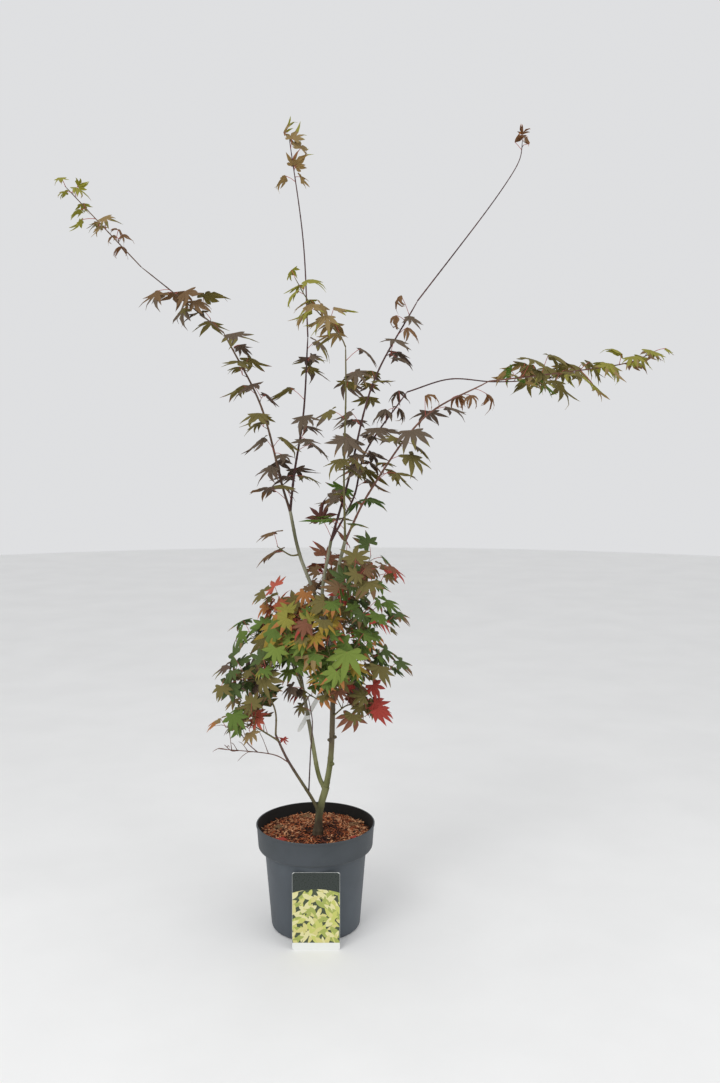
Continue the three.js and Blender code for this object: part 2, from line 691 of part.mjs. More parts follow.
function labelMesh(material) {
  const card = new THREE.Shape();
  const half = LABEL_WIDTH / 2;
  const r = LABEL_CORNER;
  card.moveTo(-half + r, 0);
  card.lineTo(half - r, 0);
  card.absarc(half - r, r, r, -Math.PI / 2, 0);
  card.lineTo(half, LABEL_HEIGHT - r);
  card.absarc(half - r, LABEL_HEIGHT - r, r, 0, Math.PI / 2);
  card.lineTo(-half + r, LABEL_HEIGHT);
  card.absarc(-half + r, LABEL_HEIGHT - r, r, Math.PI / 2, Math.PI);
  card.lineTo(-half, r);
  card.absarc(-half + r, r, r, Math.PI, Math.PI * 1.5);
  const geometry = new THREE.ExtrudeGeometry(card, {
    depth: LABEL_THICKNESS, bevelEnabled: false, curveSegments: 2,
  });
  const mesh = new THREE.Mesh(toGeometry(toSolid(geometry)), material);
  const top = LABEL_HEIGHT * Math.cos(LABEL_LEAN);
  mesh.rotation.x = Math.PI / 2 - LABEL_LEAN;
  mesh.position.x = LABEL_SHIFT;
  mesh.position.y = -wallRadius(top) - GAP - LABEL_HEIGHT * Math.sin(LABEL_LEAN);
  return mesh;
}

// Slip tag: a collar round the stem and a strip that passes behind it
function tagSolid(stem) {
  const [high, low] = vectors(TAG_REACH);
  const { point, heading } = alongPath(stem.route, TAG_SHARE);
  const around = limbRadius(stem, TAG_SHARE) + GAP + TAG_THICKNESS;
  const ends = [-0.5, 0.5].map((end) => point.clone().addScaledVector(heading, end * TAG_COLLAR_HEIGHT));
  const collar = limbSolid({ route: ends, radius: [around, around], sides: 8 });
  const strip = new THREE.BoxGeometry(TAG_WIDTH, TAG_THICKNESS, high.distanceTo(low));
  const lean = Math.atan2(high.x - low.x, high.z - low.z);
  strip.rotateY(lean);
  const behind = point.y + limbRadius(stem, TAG_SHARE) + GAP + TAG_THICKNESS / 2;
  strip.translate((high.x + low.x) / 2, behind, (high.z + low.z) / 2);
  return largestPiece(wasm.Manifold.union([collar, toSolid(strip)]).subtract(limbSolid(stem, GAP)));
}

// Assembly

const tree = new THREE.Group();

function addNode(name, solid, material) {
  const mesh = new THREE.Mesh(toGeometry(solid), material);
  mesh.name = name;
  tree.add(mesh);
}

const paint = (color, roughness) => new THREE.MeshStandardMaterial({ color, roughness, metalness: 0 });

addNode('pot', potSolid(), paint(0x3f464c, 0.6));
addNode('soil', soilSolid(), paint(0x8a4b2c, 1));
const label = labelMesh(paint(0xb9c47a, 0.5));
label.name = 'label';
tree.add(label);

const limbs = {};
for (const [name, limb] of Object.entries(LIMBS)) {
  limbs[name] = { ...limb, route: smoothPath(limb.path) };
}

const masses = Object.entries(MASSES).map(([name, mass]) => ({ name, ...mass }));
const stems = { ...limbs };
for (const mass of masses) {
  mass.stem = growStem(mass, stems[mass.from[0]]);
  stems[mass.name] = mass.stem;
}
masses.forEach((mass, index) => {
  const others = Object.values(stems).filter((stem) => stem !== mass.stem);
  const grown = masses.slice(0, index).flatMap((earlier) => earlier.side);
  mass.side = growTwigs(mass, index, [...others, ...grown]);
});
const tagLine = { route: vectors(TAG_REACH), radius: [TAG_WIDTH, TAG_WIDTH], sides: 3 };
const world = {
  leaves: [],
  limbs: [...Object.values(limbs), tagLine],
  othersOf: (mass) => {
    return masses.filter((other) => other !== mass).flatMap((other) => [other.stem, ...other.side]);
  },
};

// Every limb is cut back from the limbs and stems made before it, so neighbours meet a gap apart
const taken = [];
function cutBack(solid) {
  return taken.length ? largestPiece(solid.subtract(wasm.Manifold.union(taken))) : solid;
}

for (const [name, limb] of Object.entries(limbs)) {
  const solid = name === 'main_stem' ? addStubs(limb, limbSolid(limb)) : limbSolid(limb);
  addNode(name, cutBack(solid), paint(0x6d6f4e, 0.8));
  taken.push(limbSolid(limb, GAP));
}
addNode('stem_tag', tagSolid(limbs.left_stem), paint(0xf2f2ee, 0.5));

masses.forEach((mass, index) => {
  const twigs = [mass.stem, ...mass.side].map((twig) => limbSolid(twig));
  const leaves = growLeaves(mass, index, world).map(leafSolid);
  addNode(mass.name, cutBack(wasm.Manifold.union([...twigs, ...leaves])), paint(0x55703a, 0.7));
  taken.push(limbSolid(mass.stem, GAP));
});

export default tree;
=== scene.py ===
# %% [markdown]
# # A young maple in a nursery pot
# This file dresses a plant whose solids are already packed. The imported nodes hold the true sizes and
# places, so the first step loads them and keeps their box, which later holds the leaf blades inside it.

# %% Load the imported plant
import json
import math
import bmesh
import bpy
import numpy as np
from mathutils import Matrix, Vector, noise

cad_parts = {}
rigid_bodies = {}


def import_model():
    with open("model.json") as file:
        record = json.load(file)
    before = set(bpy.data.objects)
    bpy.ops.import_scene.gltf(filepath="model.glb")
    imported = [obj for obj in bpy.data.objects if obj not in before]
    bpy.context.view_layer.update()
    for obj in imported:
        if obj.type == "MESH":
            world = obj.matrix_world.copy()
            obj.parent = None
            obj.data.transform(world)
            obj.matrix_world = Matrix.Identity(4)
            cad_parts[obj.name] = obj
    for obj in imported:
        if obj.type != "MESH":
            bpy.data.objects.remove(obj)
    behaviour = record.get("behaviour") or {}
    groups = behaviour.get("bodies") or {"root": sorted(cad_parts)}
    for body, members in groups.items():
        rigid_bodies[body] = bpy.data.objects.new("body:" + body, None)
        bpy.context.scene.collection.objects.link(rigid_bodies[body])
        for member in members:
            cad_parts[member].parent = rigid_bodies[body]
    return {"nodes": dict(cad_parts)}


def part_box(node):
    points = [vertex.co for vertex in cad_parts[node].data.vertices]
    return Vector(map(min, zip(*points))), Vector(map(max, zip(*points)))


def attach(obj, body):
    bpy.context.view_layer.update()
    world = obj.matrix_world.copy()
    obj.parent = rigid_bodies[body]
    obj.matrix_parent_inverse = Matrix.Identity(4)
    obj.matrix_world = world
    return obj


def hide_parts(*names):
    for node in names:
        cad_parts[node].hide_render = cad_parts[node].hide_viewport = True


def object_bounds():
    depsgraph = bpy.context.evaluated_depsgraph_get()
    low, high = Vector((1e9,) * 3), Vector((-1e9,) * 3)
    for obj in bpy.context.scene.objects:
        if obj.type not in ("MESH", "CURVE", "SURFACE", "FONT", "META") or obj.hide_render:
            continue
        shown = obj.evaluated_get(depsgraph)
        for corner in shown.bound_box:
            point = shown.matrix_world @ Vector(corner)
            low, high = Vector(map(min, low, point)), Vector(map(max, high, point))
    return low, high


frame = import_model()
cad_box = [list(corner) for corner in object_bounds()]
print("packed box", cad_box, "nodes", len(frame["nodes"]))

# %% [markdown]
# Plant sizes are easier to read in millimetres, and Blender works in metres. One factor turns the
# first into the second wherever a shape is placed. Every new piece goes through one helper: it makes
# the object, lets it ride on the plant's body, names its finish slot and hides the plain solids that
# it stands for. Sheets get their thickness from Solidify.

# %% Units and helpers that make a piece
MM = 0.001


def mesh_from(bm, name):
    """Mesh of a bmesh, which is freed"""
    mesh = bpy.data.meshes.new(name)
    bm.to_mesh(mesh)
    bm.free()
    return mesh


def add_object(name, data):
    """Object in the scene"""
    thing = bpy.data.objects.new(name, data)
    bpy.context.scene.collection.objects.link(thing)
    return thing


def new_piece(name, bm, finishes, nodes=()):
    """Object from a bmesh, riding on the plant's body"""
    piece = add_object(name, mesh_from(bm, name))
    for finish in finishes:
        piece.data.materials.append(finish)
    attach(piece, "root")
    if nodes:
        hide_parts(*nodes)
    print(name, len(piece.data.polygons), "faces")
    return piece


def thicken(piece, thickness, offset=-1, under=0):
    """Thickness of a sheet. Its underside takes the finishes that come after the upper ones."""
    solid = piece.modifiers.new("thickness", "SOLIDIFY")
    solid.thickness = thickness
    solid.offset = offset
    solid.material_offset = under


# %% [markdown]
# Small shapes start as a flat grid one unit wide, or as a ready mesh that is copied in, and are then
# bent point by point.

# %% Helpers for points and faces
def unit_grid(bm, across, along):
    """Points of a flat grid, one unit wide, with so many cells each way"""
    return bmesh.ops.create_grid(bm, x_segments=across, y_segments=along, size=0.5)["verts"]


def copy_in(bm, mesh):
    """Adds a mesh to a bmesh and gives its points and faces there"""
    verts, faces = len(bm.verts), len(bm.faces)
    bm.from_mesh(mesh)
    bm.verts.ensure_lookup_table()
    bm.faces.ensure_lookup_table()
    return bm.verts[verts:], bm.faces[faces:]


def paint(verts, finish):
    """Sets the finish of the faces at some points"""
    for face in {face for vert in verts for face in vert.link_faces}:
        face.material_index = finish


# %% [markdown]
# ## Camera and light
# A photographer would stand about 2.8 m away, hold the camera just above the middle of the plant and
# tip it down a little. The light in such a nursery picture is a broad white sky of lamps with hardly
# any shadow, so the world gives most of it and one wide lamp gives the leaves some form.

# %% Camera
CAMERA_PLACE, CAMERA_PITCH = (0.1136, -2.6821, 1.2642), math.radians(5.864)
camera = add_object("camera", bpy.data.cameras.new("camera"))
camera.data.lens = camera.data.sensor_width = 36
camera.location = CAMERA_PLACE
camera.rotation_euler = (math.pi / 2 - CAMERA_PITCH, 0, 0)
bpy.context.scene.camera = camera
print("camera at", CAMERA_PLACE)

# %% Light
SKY_COLOUR, SKY_STRENGTH = (0.945, 0.952, 0.968, 1), 0.78
world = bpy.data.worlds.new("studio")
world.use_nodes = True
sky = world.node_tree.nodes["Background"]
sky.inputs["Color"].default_value = SKY_COLOUR
sky.inputs["Strength"].default_value = SKY_STRENGTH
bpy.context.scene.world = world
bpy.context.scene.view_settings.view_transform = "Standard"


def soft_lamp(name, place, aim, size, watts):
    """Wide square lamp turned towards a point"""
    lamp = add_object(name, bpy.data.lights.new(name, "AREA"))
    lamp.data.size = size
    lamp.data.energy = watts
    lamp.location = place
    lamp.rotation_euler = (Vector(aim) - Vector(place)).to_track_quat("-Z", "Y").to_euler()


soft_lamp("key_lamp", (-1.6, -2.6, 3.2), (0.0, 0.0, 0.9), 2.0, 52)
soft_lamp("fill_lamp", (2.2, -1.6, 2.2), (0.0, 0.0, 0.8), 2.0, 14)

# %% [markdown]
# ## Finishes
# Colours are picked as they look on a screen, and the shader wants linear light, so a small function
# turns one into the other. Three kinds of finish are enough here. A plain one has a single base colour
# with a little noise in its roughness and height, which suits leaves and chips that are dealt out by
# colour. A mottled one lets noise choose between tones, which suits soil, and a rising one changes its
# tones at a height, which suits bark and a pot whose band is darker than its wall.

# %% Colour and noise
TONE_LOW, TONE_SPAN = 0.32, 0.36


def shown(colour):
    """Red, green and blue of a colour written as #rrggbb, as on a screen"""
    return [int(colour[i:i + 2], 16) / 255 for i in (1, 3, 5)]


def linear(colour):
    """Linear red, green, blue and alpha of a colour written as #rrggbb"""
    return [c / 12.92 if c <= 0.04045 else ((c + 0.055) / 1.055) ** 2.4 for c in shown(colour)] + [1]


def add_noise(tree, vector, scale, detail=3, stretch=(1, 1, 1)):
    """Noise of so many cells to the metre"""
    mapping = tree.nodes.new("ShaderNodeMapping")
    mapping.inputs["Scale"].default_value = stretch
    cloud = tree.nodes.new("ShaderNodeTexNoise")
    cloud.inputs["Scale"].default_value = scale
    cloud.inputs["Detail"].default_value = detail
    tree.links.new(vector, mapping.inputs["Vector"])
    tree.links.new(mapping.outputs["Vector"], cloud.inputs["Vector"])
    return cloud.outputs["Fac"]


def add_grain(tree, shader, value, roughness, swing, depth):
    """Noise that moves the roughness by a swing and gives a relief of a depth in metres"""
    reach = tree.nodes.new("ShaderNodeMapRange")
    for end, level in (("From Min", 0.3), ("From Max", 0.7), ("To Min", roughness - swing),
                       ("To Max", roughness + swing)):
        reach.inputs[end].default_value = level
    bump = tree.nodes.new("ShaderNodeBump")
    bump.inputs["Distance"].default_value = depth
    tree.links.new(value, reach.inputs["Value"])
    tree.links.new(value, bump.inputs["Height"])
    tree.links.new(reach.outputs["Result"], shader.inputs["Roughness"])
    tree.links.new(bump.outputs["Normal"], shader.inputs["Normal"])


def add_tones(tree, value, tones):
    """Ramp through several tones, crowded about the middle of the noise"""
    ramp = tree.nodes.new("ShaderNodeValToRGB")
    marks = ramp.color_ramp.elements
    marks[0].position, marks[1].position = TONE_LOW, TONE_LOW + TONE_SPAN
    for i in range(1, len(tones) - 1):
        marks.new(TONE_LOW + TONE_SPAN * i / (len(tones) - 1))
    for mark, tone in zip(sorted(marks, key=lambda m: m.position), tones):
        mark.color = linear(tone)
    tree.links.new(value, ramp.inputs["Fac"])
    return ramp.outputs["Color"]


# %% Kinds of finish
def start_finish(name, shine=0.3):
    """Material with its node tree, its shader and its object coordinates"""
    finish = bpy.data.materials.new(name)
    finish.use_nodes = True
    tree = finish.node_tree
    shader = tree.nodes["Principled BSDF"]
    shader.inputs["Specular IOR Level"].default_value = shine
    return finish, tree, shader, tree.nodes.new("ShaderNodeTexCoord").outputs["Object"]


def plain_finish(name, colour, roughness, grain=400, depth=0.0003, shine=0.4):
    """One base colour with grain"""
    finish, tree, shader, place = start_finish(name, shine)
    shader.inputs["Base Color"].default_value = linear(colour)
    add_grain(tree, shader, add_noise(tree, place, grain), roughness, 0.08, depth)
    return finish


def mottled_finish(name, tones, roughness, scale, stretch=(1, 1, 1), grain=500, depth=0.0004, detail=4):
    """Noise that runs through several tones, with finer grain"""
    finish, tree, shader, place = start_finish(name)
    colour = add_tones(tree, add_noise(tree, place, scale, detail, stretch), tones)
    tree.links.new(colour, shader.inputs["Base Color"])
    add_grain(tree, shader, add_noise(tree, place, grain, 3, stretch), roughness, 0.1, depth)
    return finish


def rising_finish(name, low, high, change, ragged, roughness, scale, stretch=(1, 1, 1), grain=500,
                  depth=0.0004):
    """Mottled tones that give way to others at a height in metres, over a ragged edge"""
    finish, tree, shader, place = start_finish(name)
    cloud = add_noise(tree, place, scale, 4, stretch)
    split = tree.nodes.new("ShaderNodeSeparateXYZ")
    tree.links.new(place, split.inputs["Vector"])
    height = tree.nodes.new("ShaderNodeMath")
    height.operation = "MULTIPLY_ADD"
    height.inputs[1].default_value = ragged
    tree.links.new(cloud, height.inputs[0])
    tree.links.new(split.outputs["Z"], height.inputs[2])
    share = tree.nodes.new("ShaderNodeMapRange")
    share.inputs["From Min"].default_value = change
    share.inputs["From Max"].default_value = change + ragged
    tree.links.new(height.outputs[0], share.inputs["Value"])
    blend = tree.nodes.new("ShaderNodeMix")
    blend.data_type = "RGBA"
    tree.links.new(share.outputs["Result"], blend.inputs[0])
    tree.links.new(add_tones(tree, cloud, low), blend.inputs[6])
    tree.links.new(add_tones(tree, cloud, high), blend.inputs[7])
    tree.links.new(blend.outputs[2], shader.inputs["Base Color"])
    add_grain(tree, shader, add_noise(tree, place, grain, 3, stretch), roughness, 0.1, depth)
    return finish


# %% [markdown]
# ## Floor
# A pale, slightly uneven floor runs far past the plant, so that no edge of it shows from any side.

# %% Floor
FLOOR_RADIUS = 9.0
floor_mesh = bmesh.new()
bmesh.ops.create_circle(floor_mesh, cap_ends=True, segments=96, radius=FLOOR_RADIUS)
floor = add_object("floor", mesh_from(floor_mesh, "floor"))
floor.data.materials.append(mottled_finish("pale_floor", ["#eeeeed", "#f2f2f1"], 0.7, 3, grain=60,
                                           depth=0.0002))
print("floor radius", FLOOR_RADIUS)

# %% [markdown]
# ## Pot
# A nursery pot is moulded in one piece from recycled plastic: a thin tapered wall, a wider band with a
# small lip, rounded inner and outer corners, and drain holes in the floor. Half of its cut through the
# middle is a short outline, so spinning that outline about the upright axis gives the whole pot. The
# solid has flat facets, and this one has many more steps and soft corners at the same radii. Its inner
# faces are told apart by their normals and take a nearly black finish: painted shade inside the pot.

# %% Spin helper
def spin_outline(points, steps):
    """Closed bmesh from an outline of (radius, height) points in millimetres"""
    bm = bmesh.new()
    verts = [bm.verts.new((radius * MM, 0, height * MM)) for radius, height in points]
    edges = [bm.edges.new(pair) for pair in zip(verts, verts[1:])]
    bmesh.ops.spin(bm, geom=verts + edges, cent=(0, 0, 0), axis=(0, 0, 1), angle=2 * math.pi,
                   steps=steps, use_merge=True)
    bmesh.ops.remove_doubles(bm, verts=bm.verts[:], dist=1e-6)
    bmesh.ops.recalc_face_normals(bm, faces=bm.faces[:])
    for face in bm.faces:
        face.smooth = True
    return bm


def rounded(corner, before, after, radius, steps=4):
    """Points of a quadratic curve that rounds one corner of an outline"""
    corner, before, after = (np.array(p, float) for p in (corner, before, after))
    start = corner + (before - corner) * radius / np.linalg.norm(before - corner)
    end = corner + (after - corner) * radius / np.linalg.norm(after - corner)
    share = [i / steps for i in range(steps + 1)]
    return [tuple((1 - t) ** 2 * start + 2 * t * (1 - t) * corner + t * t * end) for t in share]


def round_outline(points, radii):
    """Outline whose inner corners are rounded by the radii given for them"""
    outline = [points[0]]
    for i in range(1, len(points) - 1):
        outline += rounded(points[i], points[i - 1], points[i + 1], radii[i - 1])
    return outline + [points[-1]]


# %% Pot
POT_FOOT, POT_SHOULDER, POT_BAND, POT_RIM = 113, 129.5, 145.6, 151.2
SHOULDER_HEIGHT, POT_HEIGHT, POT_WALL, POT_FLOOR, POT_LIP = 203, 268, 2.4, 4, 5
POT_STEPS, POT_CORNERS = 112, [9, 7, 7, 0.8, 0.7, 1.2, 1.2, 5, 5, 6]
pot_points = [
    (0, 0), (POT_FOOT, 0), (POT_SHOULDER, SHOULDER_HEIGHT), (POT_BAND, SHOULDER_HEIGHT + 3),
    (POT_RIM - 1.6, POT_HEIGHT - POT_LIP), (POT_RIM, POT_HEIGHT - POT_LIP + 0.6), (POT_RIM, POT_HEIGHT),
    (POT_RIM - 4.2, POT_HEIGHT), (POT_BAND - POT_WALL, SHOULDER_HEIGHT + 6),
    (POT_SHOULDER - POT_WALL, SHOULDER_HEIGHT + 3), (POT_FOOT - POT_WALL, POT_FLOOR), (0, POT_FLOOR),
]
pot_mesh = spin_outline(round_outline(pot_points, POT_CORNERS), POT_STEPS)
# Inward faces take the second finish, a nearly black painted shade for the inside of the pot
for face in pot_mesh.faces:
    middle = face.calc_center_median()
    if face.normal.xy.dot(middle.xy) < 0 and middle.z > POT_FLOOR * MM:
        face.material_index = 1
pot_plastic = rising_finish("pot_plastic", ["#4c5257", "#50565c", "#545b61"],
                            ["#3f4448", "#44494d", "#4a4f54"], 0.201, 0.004, 0.55, 9, grain=900,
                            depth=0.00012)
# Painted shade: the inside is the same plastic, given a nearly black finish for the shade in the pot
pot_inside_painted_shade = mottled_finish("pot_inside_painted_shade", ["#191816", "#23211f"], 0.7, 20, grain=700, depth=0.0002)
pot = new_piece("nursery_pot", pot_mesh, [pot_plastic, pot_inside_painted_shade], ["pot"])

# %% [markdown]
# The drain holes are cut with a Boolean modifier. Six short posts stand where the holes are, and the
# modifier takes them out of the pot's floor. It is applied at once, so the posts can be removed.

# %% Drain holes
DRAIN_HOLES, DRAIN_RADIUS, DRAIN_RING = 6, 7, 84
posts_mesh = bmesh.new()
for i in range(DRAIN_HOLES):
    turn = (i + 0.5) * 2 * math.pi / DRAIN_HOLES
    place = (DRAIN_RING * MM * math.cos(turn), DRAIN_RING * MM * math.sin(turn), 0)
    bmesh.ops.create_cone(posts_mesh, cap_ends=True, segments=20, radius1=DRAIN_RADIUS * MM,
                          radius2=DRAIN_RADIUS * MM, depth=4 * POT_FLOOR * MM,
                          matrix=Matrix.Translation(place))
posts = add_object("posts", mesh_from(posts_mesh, "posts"))
cut = pot.modifiers.new("drain", "BOOLEAN")
cut.operation = "DIFFERENCE"
cut.object = posts
bpy.context.view_layer.update()
drained = pot.evaluated_get(bpy.context.evaluated_depsgraph_get())
drained = bpy.data.meshes.new_from_object(drained)
pot.modifiers.clear()
pot.data = drained
bpy.data.objects.remove(posts)
print("pot with drain holes", len(pot.data.polygons), "faces")

# %% [markdown]
# ## Soil
# The pot is filled with damp mix and topped with shredded bark. The bed is one closed spun shape whose
# top is pushed up and down by noise, with a low heap behind the trunk. The shreds on it are small
# fibrous strips in five browns, laid by a seeded scatter: darker and wetter near the trunk, redder
# towards the wall.

# %% Soil bed
SOIL_LEVEL, SOIL_FLAT, SOIL_EDGE, SOIL_GAP = 246, 62, 238, POT_WALL + 1.2
SOIL_WALL = POT_BAND + (POT_RIM - POT_BAND) * (SOIL_EDGE - SHOULDER_HEIGHT) / (POT_HEIGHT - SHOULDER_HEIGHT)
HEAP_AT, HEAP_HEIGHT, HEAP_SPREAD = (20, 62), 9, 60
BED_RINGS, BED_STEPS = 26, 120


def bed_height(x, y):
    """Height of the bed's top at a place, in millimetres"""
    fall = max(0, (math.hypot(x, y) - SOIL_FLAT) / (SOIL_WALL - SOIL_FLAT))
    bumps = noise.noise(Vector((x / 22, y / 22, 3))) * 2.2 + noise.noise(Vector((x / 7, y / 7, 8)))
    off = (x - HEAP_AT[0]) ** 2 + (y - HEAP_AT[1]) ** 2
    heap = HEAP_HEIGHT * math.exp(-off / HEAP_SPREAD ** 2)
    return SOIL_LEVEL - (SOIL_LEVEL - SOIL_EDGE) * min(fall, 1) + bumps + heap - 1


bed_points = [(0, POT_FLOOR + 1), (POT_FOOT - SOIL_GAP - 2, POT_FLOOR + 1),
              (POT_SHOULDER - SOIL_GAP, SHOULDER_HEIGHT + 6),
              (POT_BAND - SOIL_GAP - 1, SHOULDER_HEIGHT + 10)]
bed_points += [((SOIL_WALL - SOIL_GAP) * (1 - i / BED_RINGS), SOIL_LEVEL) for i in range(BED_RINGS + 1)]
bed_mesh = spin_outline(bed_points, BED_STEPS)
for vert in bed_mesh.verts:
    if vert.co.z > (SOIL_LEVEL - 1) * MM:
        vert.co.z = bed_height(vert.co.x / MM, vert.co.y / MM) * MM
damp_mix = mottled_finish("damp_mix", ["#1e110b", "#2f190f", "#4a2716", "#653720"], 0.9, 160,
                          grain=900, depth=0.0012)
new_piece("soil_bed", bed_mesh, [damp_mix], ["soil"])

# %% [markdown]
# Everything scattered or grown draws its numbers from a seed, so that it comes out the same each time.

# %% Seeded numbers
def seeded_random(seed):
    """Even, repeatable numbers from 0 to 1"""
    state = [(seed * 7919 + 12345) % 2147483647]

    def draw():
        state[0] = (state[0] * 16807) % 2147483647
        return state[0] / 2147483647
    draw()
    draw()
    return draw


def mix(a, b, share):
    """Value at a share of the way from a to b"""
    return a + (b - a) * share


# %% Bark shreds
SHREDS, SHRED_SEED, TRUNK_FOOT, TRUNK_ROOM, DAMP_RADIUS = 3600, 11, (6, -30), 15, 60
SHRED_TONES = {"shred_dark": "#2a140c", "shred_brown": "#5f2d17", "shred_rust": "#8f4826",
               "shred_orange": "#b3683c", "shred_pale": "#d09a70"}


def lay_shred(bm, draw):
    """One fibrous strip of bark, arched and bent a little, laid on the bed"""
    radius, angle = (SOIL_WALL - SOIL_GAP - 8) * math.sqrt(draw()), draw() * 2 * math.pi
    x, y = radius * math.cos(angle), radius * math.sin(angle)
    from_trunk = math.hypot(x - TRUNK_FOOT[0], y - TRUNK_FOOT[1])
    length, width = mix(5, 18, draw() ** 1.8), mix(0.8, 3.4, draw() ** 1.5)
    arch, bend = mix(-0.15, 0.5, draw()), mix(-0.7, 0.7, draw())
    pose = (Matrix.Rotation(draw() * 2 * math.pi, 4, "Z")
            @ Matrix.Rotation(mix(-0.5, 0.5, draw()), 4, "X")
            @ Matrix.Rotation(mix(-0.7, 0.7, draw()), 4, "Y"))
    drift = 0.34 * noise.noise(Vector((x / 34, y / 34, 0)))
    tone = draw() + (0.2 if from_trunk > DAMP_RADIUS else -0.3) * draw() + drift
    height = bed_height(x, y) + mix(0.6, 4.8, draw())
    if from_trunk < TRUNK_ROOM:
        return
    verts = unit_grid(bm, 1, 3)
    for vert in verts:
        across, along = vert.co.x, vert.co.y
        vert.co = Vector((across * width + bend * along * along * length, along * length,
                          -arch * along * along * length)) * MM
    place = Matrix.Translation(Vector((x, y, height)) * MM)
    bmesh.ops.transform(bm, matrix=place @ pose, verts=verts)
    paint(verts, min(len(SHRED_TONES) - 1, max(0, int(tone * 4.8))))


shreds_mesh = bmesh.new()
shred_draw = seeded_random(SHRED_SEED)
for _ in range(SHREDS):
    lay_shred(shreds_mesh, shred_draw)
shred_finishes = [plain_finish(name, tone, 0.85, 700, 0.0005) for name, tone in SHRED_TONES.items()]
thicken(new_piece("bark_shreds", shreds_mesh, shred_finishes), 0.7 * MM)

# %% [markdown]
# ## Picture label
# The label is a laminated card that leans on the pot under its band. A rectangle whose corners are
# bevelled and which is then extruded makes the card. The print on it is a dark header with an arched
# edge, a field of pale leaves and a bare white strip, each a hair in front of the card so that no two
# faces share a plane. The leaves are a plain pattern made for this label: single lance shapes that
# hang at random.

# %% Card
LABEL_WIDTH, LABEL_HEIGHT, LABEL_THICKNESS, LABEL_CORNER = 117, 189, 1.2, 5
LABEL_LEAN, PRINT_ROOM = math.radians(5.7), 0.4
label_low, label_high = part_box("label")
foot_depth = label_low.y + LABEL_THICKNESS * MM * math.cos(LABEL_LEAN)
label_foot = Vector(((label_low.x + label_high.x) / 2, foot_depth, 0))
# Card coordinates: x to the right, y up the card, z out of its face
label_place = Matrix.Translation(label_foot) @ Matrix.Rotation(math.pi / 2 - LABEL_LEAN, 4, "X")


def rectangle(bm, left, right, low, high, lift, finish):
    """Flat rectangle in front of the card"""
    corners = [(left, low), (right, low), (right, high), (left, high)]
    face = bm.faces.new([bm.verts.new(Vector((x, y, lift)) * MM) for x, y in corners])
    face.material_index = finish
    return face


label_mesh = bmesh.new()
half = LABEL_WIDTH / 2
card_face = rectangle(label_mesh, -half, half, 0, LABEL_HEIGHT, 0, 0)
bmesh.ops.bevel(label_mesh, geom=card_face.verts[:], offset=LABEL_CORNER * MM, affect="VERTICES",
                segments=5, profile=0.5, material=-1)
grown = bmesh.ops.extrude_face_region(label_mesh, geom=label_mesh.faces[:])["geom"]
front = [item for item in grown if isinstance(item, bmesh.types.BMVert)]
bmesh.ops.translate(label_mesh, verts=front, vec=(0, 0, (LABEL_THICKNESS - PRINT_ROOM) * MM))
bmesh.ops.recalc_face_normals(label_mesh, faces=label_mesh.faces[:])
print("label card", len(label_mesh.faces), "faces")

# %% Print on the card
INSET, PRINT_STEP, STRIP_TOP, HEADER_EDGE, HEADER_ARCH = 0.5, 0.12, 17, 139, 9
PRINTED_LEAVES, LABEL_SEED, LEAF_TINTS = 128, 29, 4
print_lift = LABEL_THICKNESS - PRINT_ROOM + PRINT_STEP
rectangle(label_mesh, -half + INSET, half - INSET, STRIP_TOP, HEADER_EDGE + HEADER_ARCH, print_lift, 1)
header = unit_grid(label_mesh, 20, 1)
for vert in header:
    x = vert.co.x * (LABEL_WIDTH - 2 * INSET)
    low_edge = HEADER_EDGE + HEADER_ARCH * (1 - (2 * x / LABEL_WIDTH) ** 2)
    high_edge = LABEL_HEIGHT - INSET - max(0, abs(x) - half + INSET + 4) * 0.8
    vert.co = Vector((x, low_edge if vert.co.y < 0 else high_edge, print_lift + 2 * PRINT_STEP)) * MM
paint(header, 2)


def pointed_leaf(bm, base, heading, length, width, lift, finish):
    """Flat leaf with a point at each end, turned to a heading in degrees"""
    verts = unit_grid(bm, 2, 6)
    turn = math.radians(heading)
    for vert in verts:
        along = vert.co.y + 0.5
        side = 2 * vert.co.x * width / 2 * math.sin(math.pi * along ** 0.8)
        x = base[0] + math.sin(turn) * along * length + math.cos(turn) * side
        y = base[1] + math.cos(turn) * along * length - math.sin(turn) * side
        vert.co = Vector((x, y, lift)) * MM
    paint(verts, finish)


label_draw = seeded_random(LABEL_SEED)
for k in range(PRINTED_LEAVES):
    step = k / PRINTED_LEAVES
    base = (mix(-half, half, (k * 0.618) % 1), mix(STRIP_TOP, HEADER_EDGE + HEADER_ARCH, 1 - step) + 12)
    heading = 180 + mix(-75, 75, label_draw())
    length, width = mix(24, 42, label_draw()), mix(8, 13, label_draw())
    tint = 3 + int(label_draw() * LEAF_TINTS)
    lift = print_lift + PRINT_STEP * (0.3 + 1.4 * k / PRINTED_LEAVES)
    pointed_leaf(label_mesh, base, heading, length, width, lift, tint)
edges = [((-half + INSET, 0, 0), (-1, 0, 0)), ((half - INSET, 0, 0), (1, 0, 0)),
         ((0, STRIP_TOP, 0), (0, -1, 0))]
for point, normal in edges:
    printed = [face for face in label_mesh.faces if face.material_index > 2]
    around = {item for face in printed for item in (face, *face.verts, *face.edges)}
    bmesh.ops.bisect_plane(label_mesh, geom=list(around), plane_co=Vector(point) * MM,
                           plane_no=normal, clear_outer=True)
bmesh.ops.transform(label_mesh, matrix=label_place, verts=label_mesh.verts[:])
LABEL_TONES = {
    "card_white": ("#e9ebe7", 0.35), "print_shade": ("#46503a", 0.32), "print_header": ("#2f3632", 0.3),
    "print_cream": ("#dfd9a0", 0.32), "print_lime": ("#c6c96c", 0.32), "print_straw": ("#d3cc83", 0.32),
    "print_fresh_green": ("#a3ad58", 0.32),
}
label_finishes = [plain_finish(name, *tone, 300, 0.00003) for name, tone in LABEL_TONES.items()]
new_piece("picture_label", label_mesh, label_finishes, ["label"])

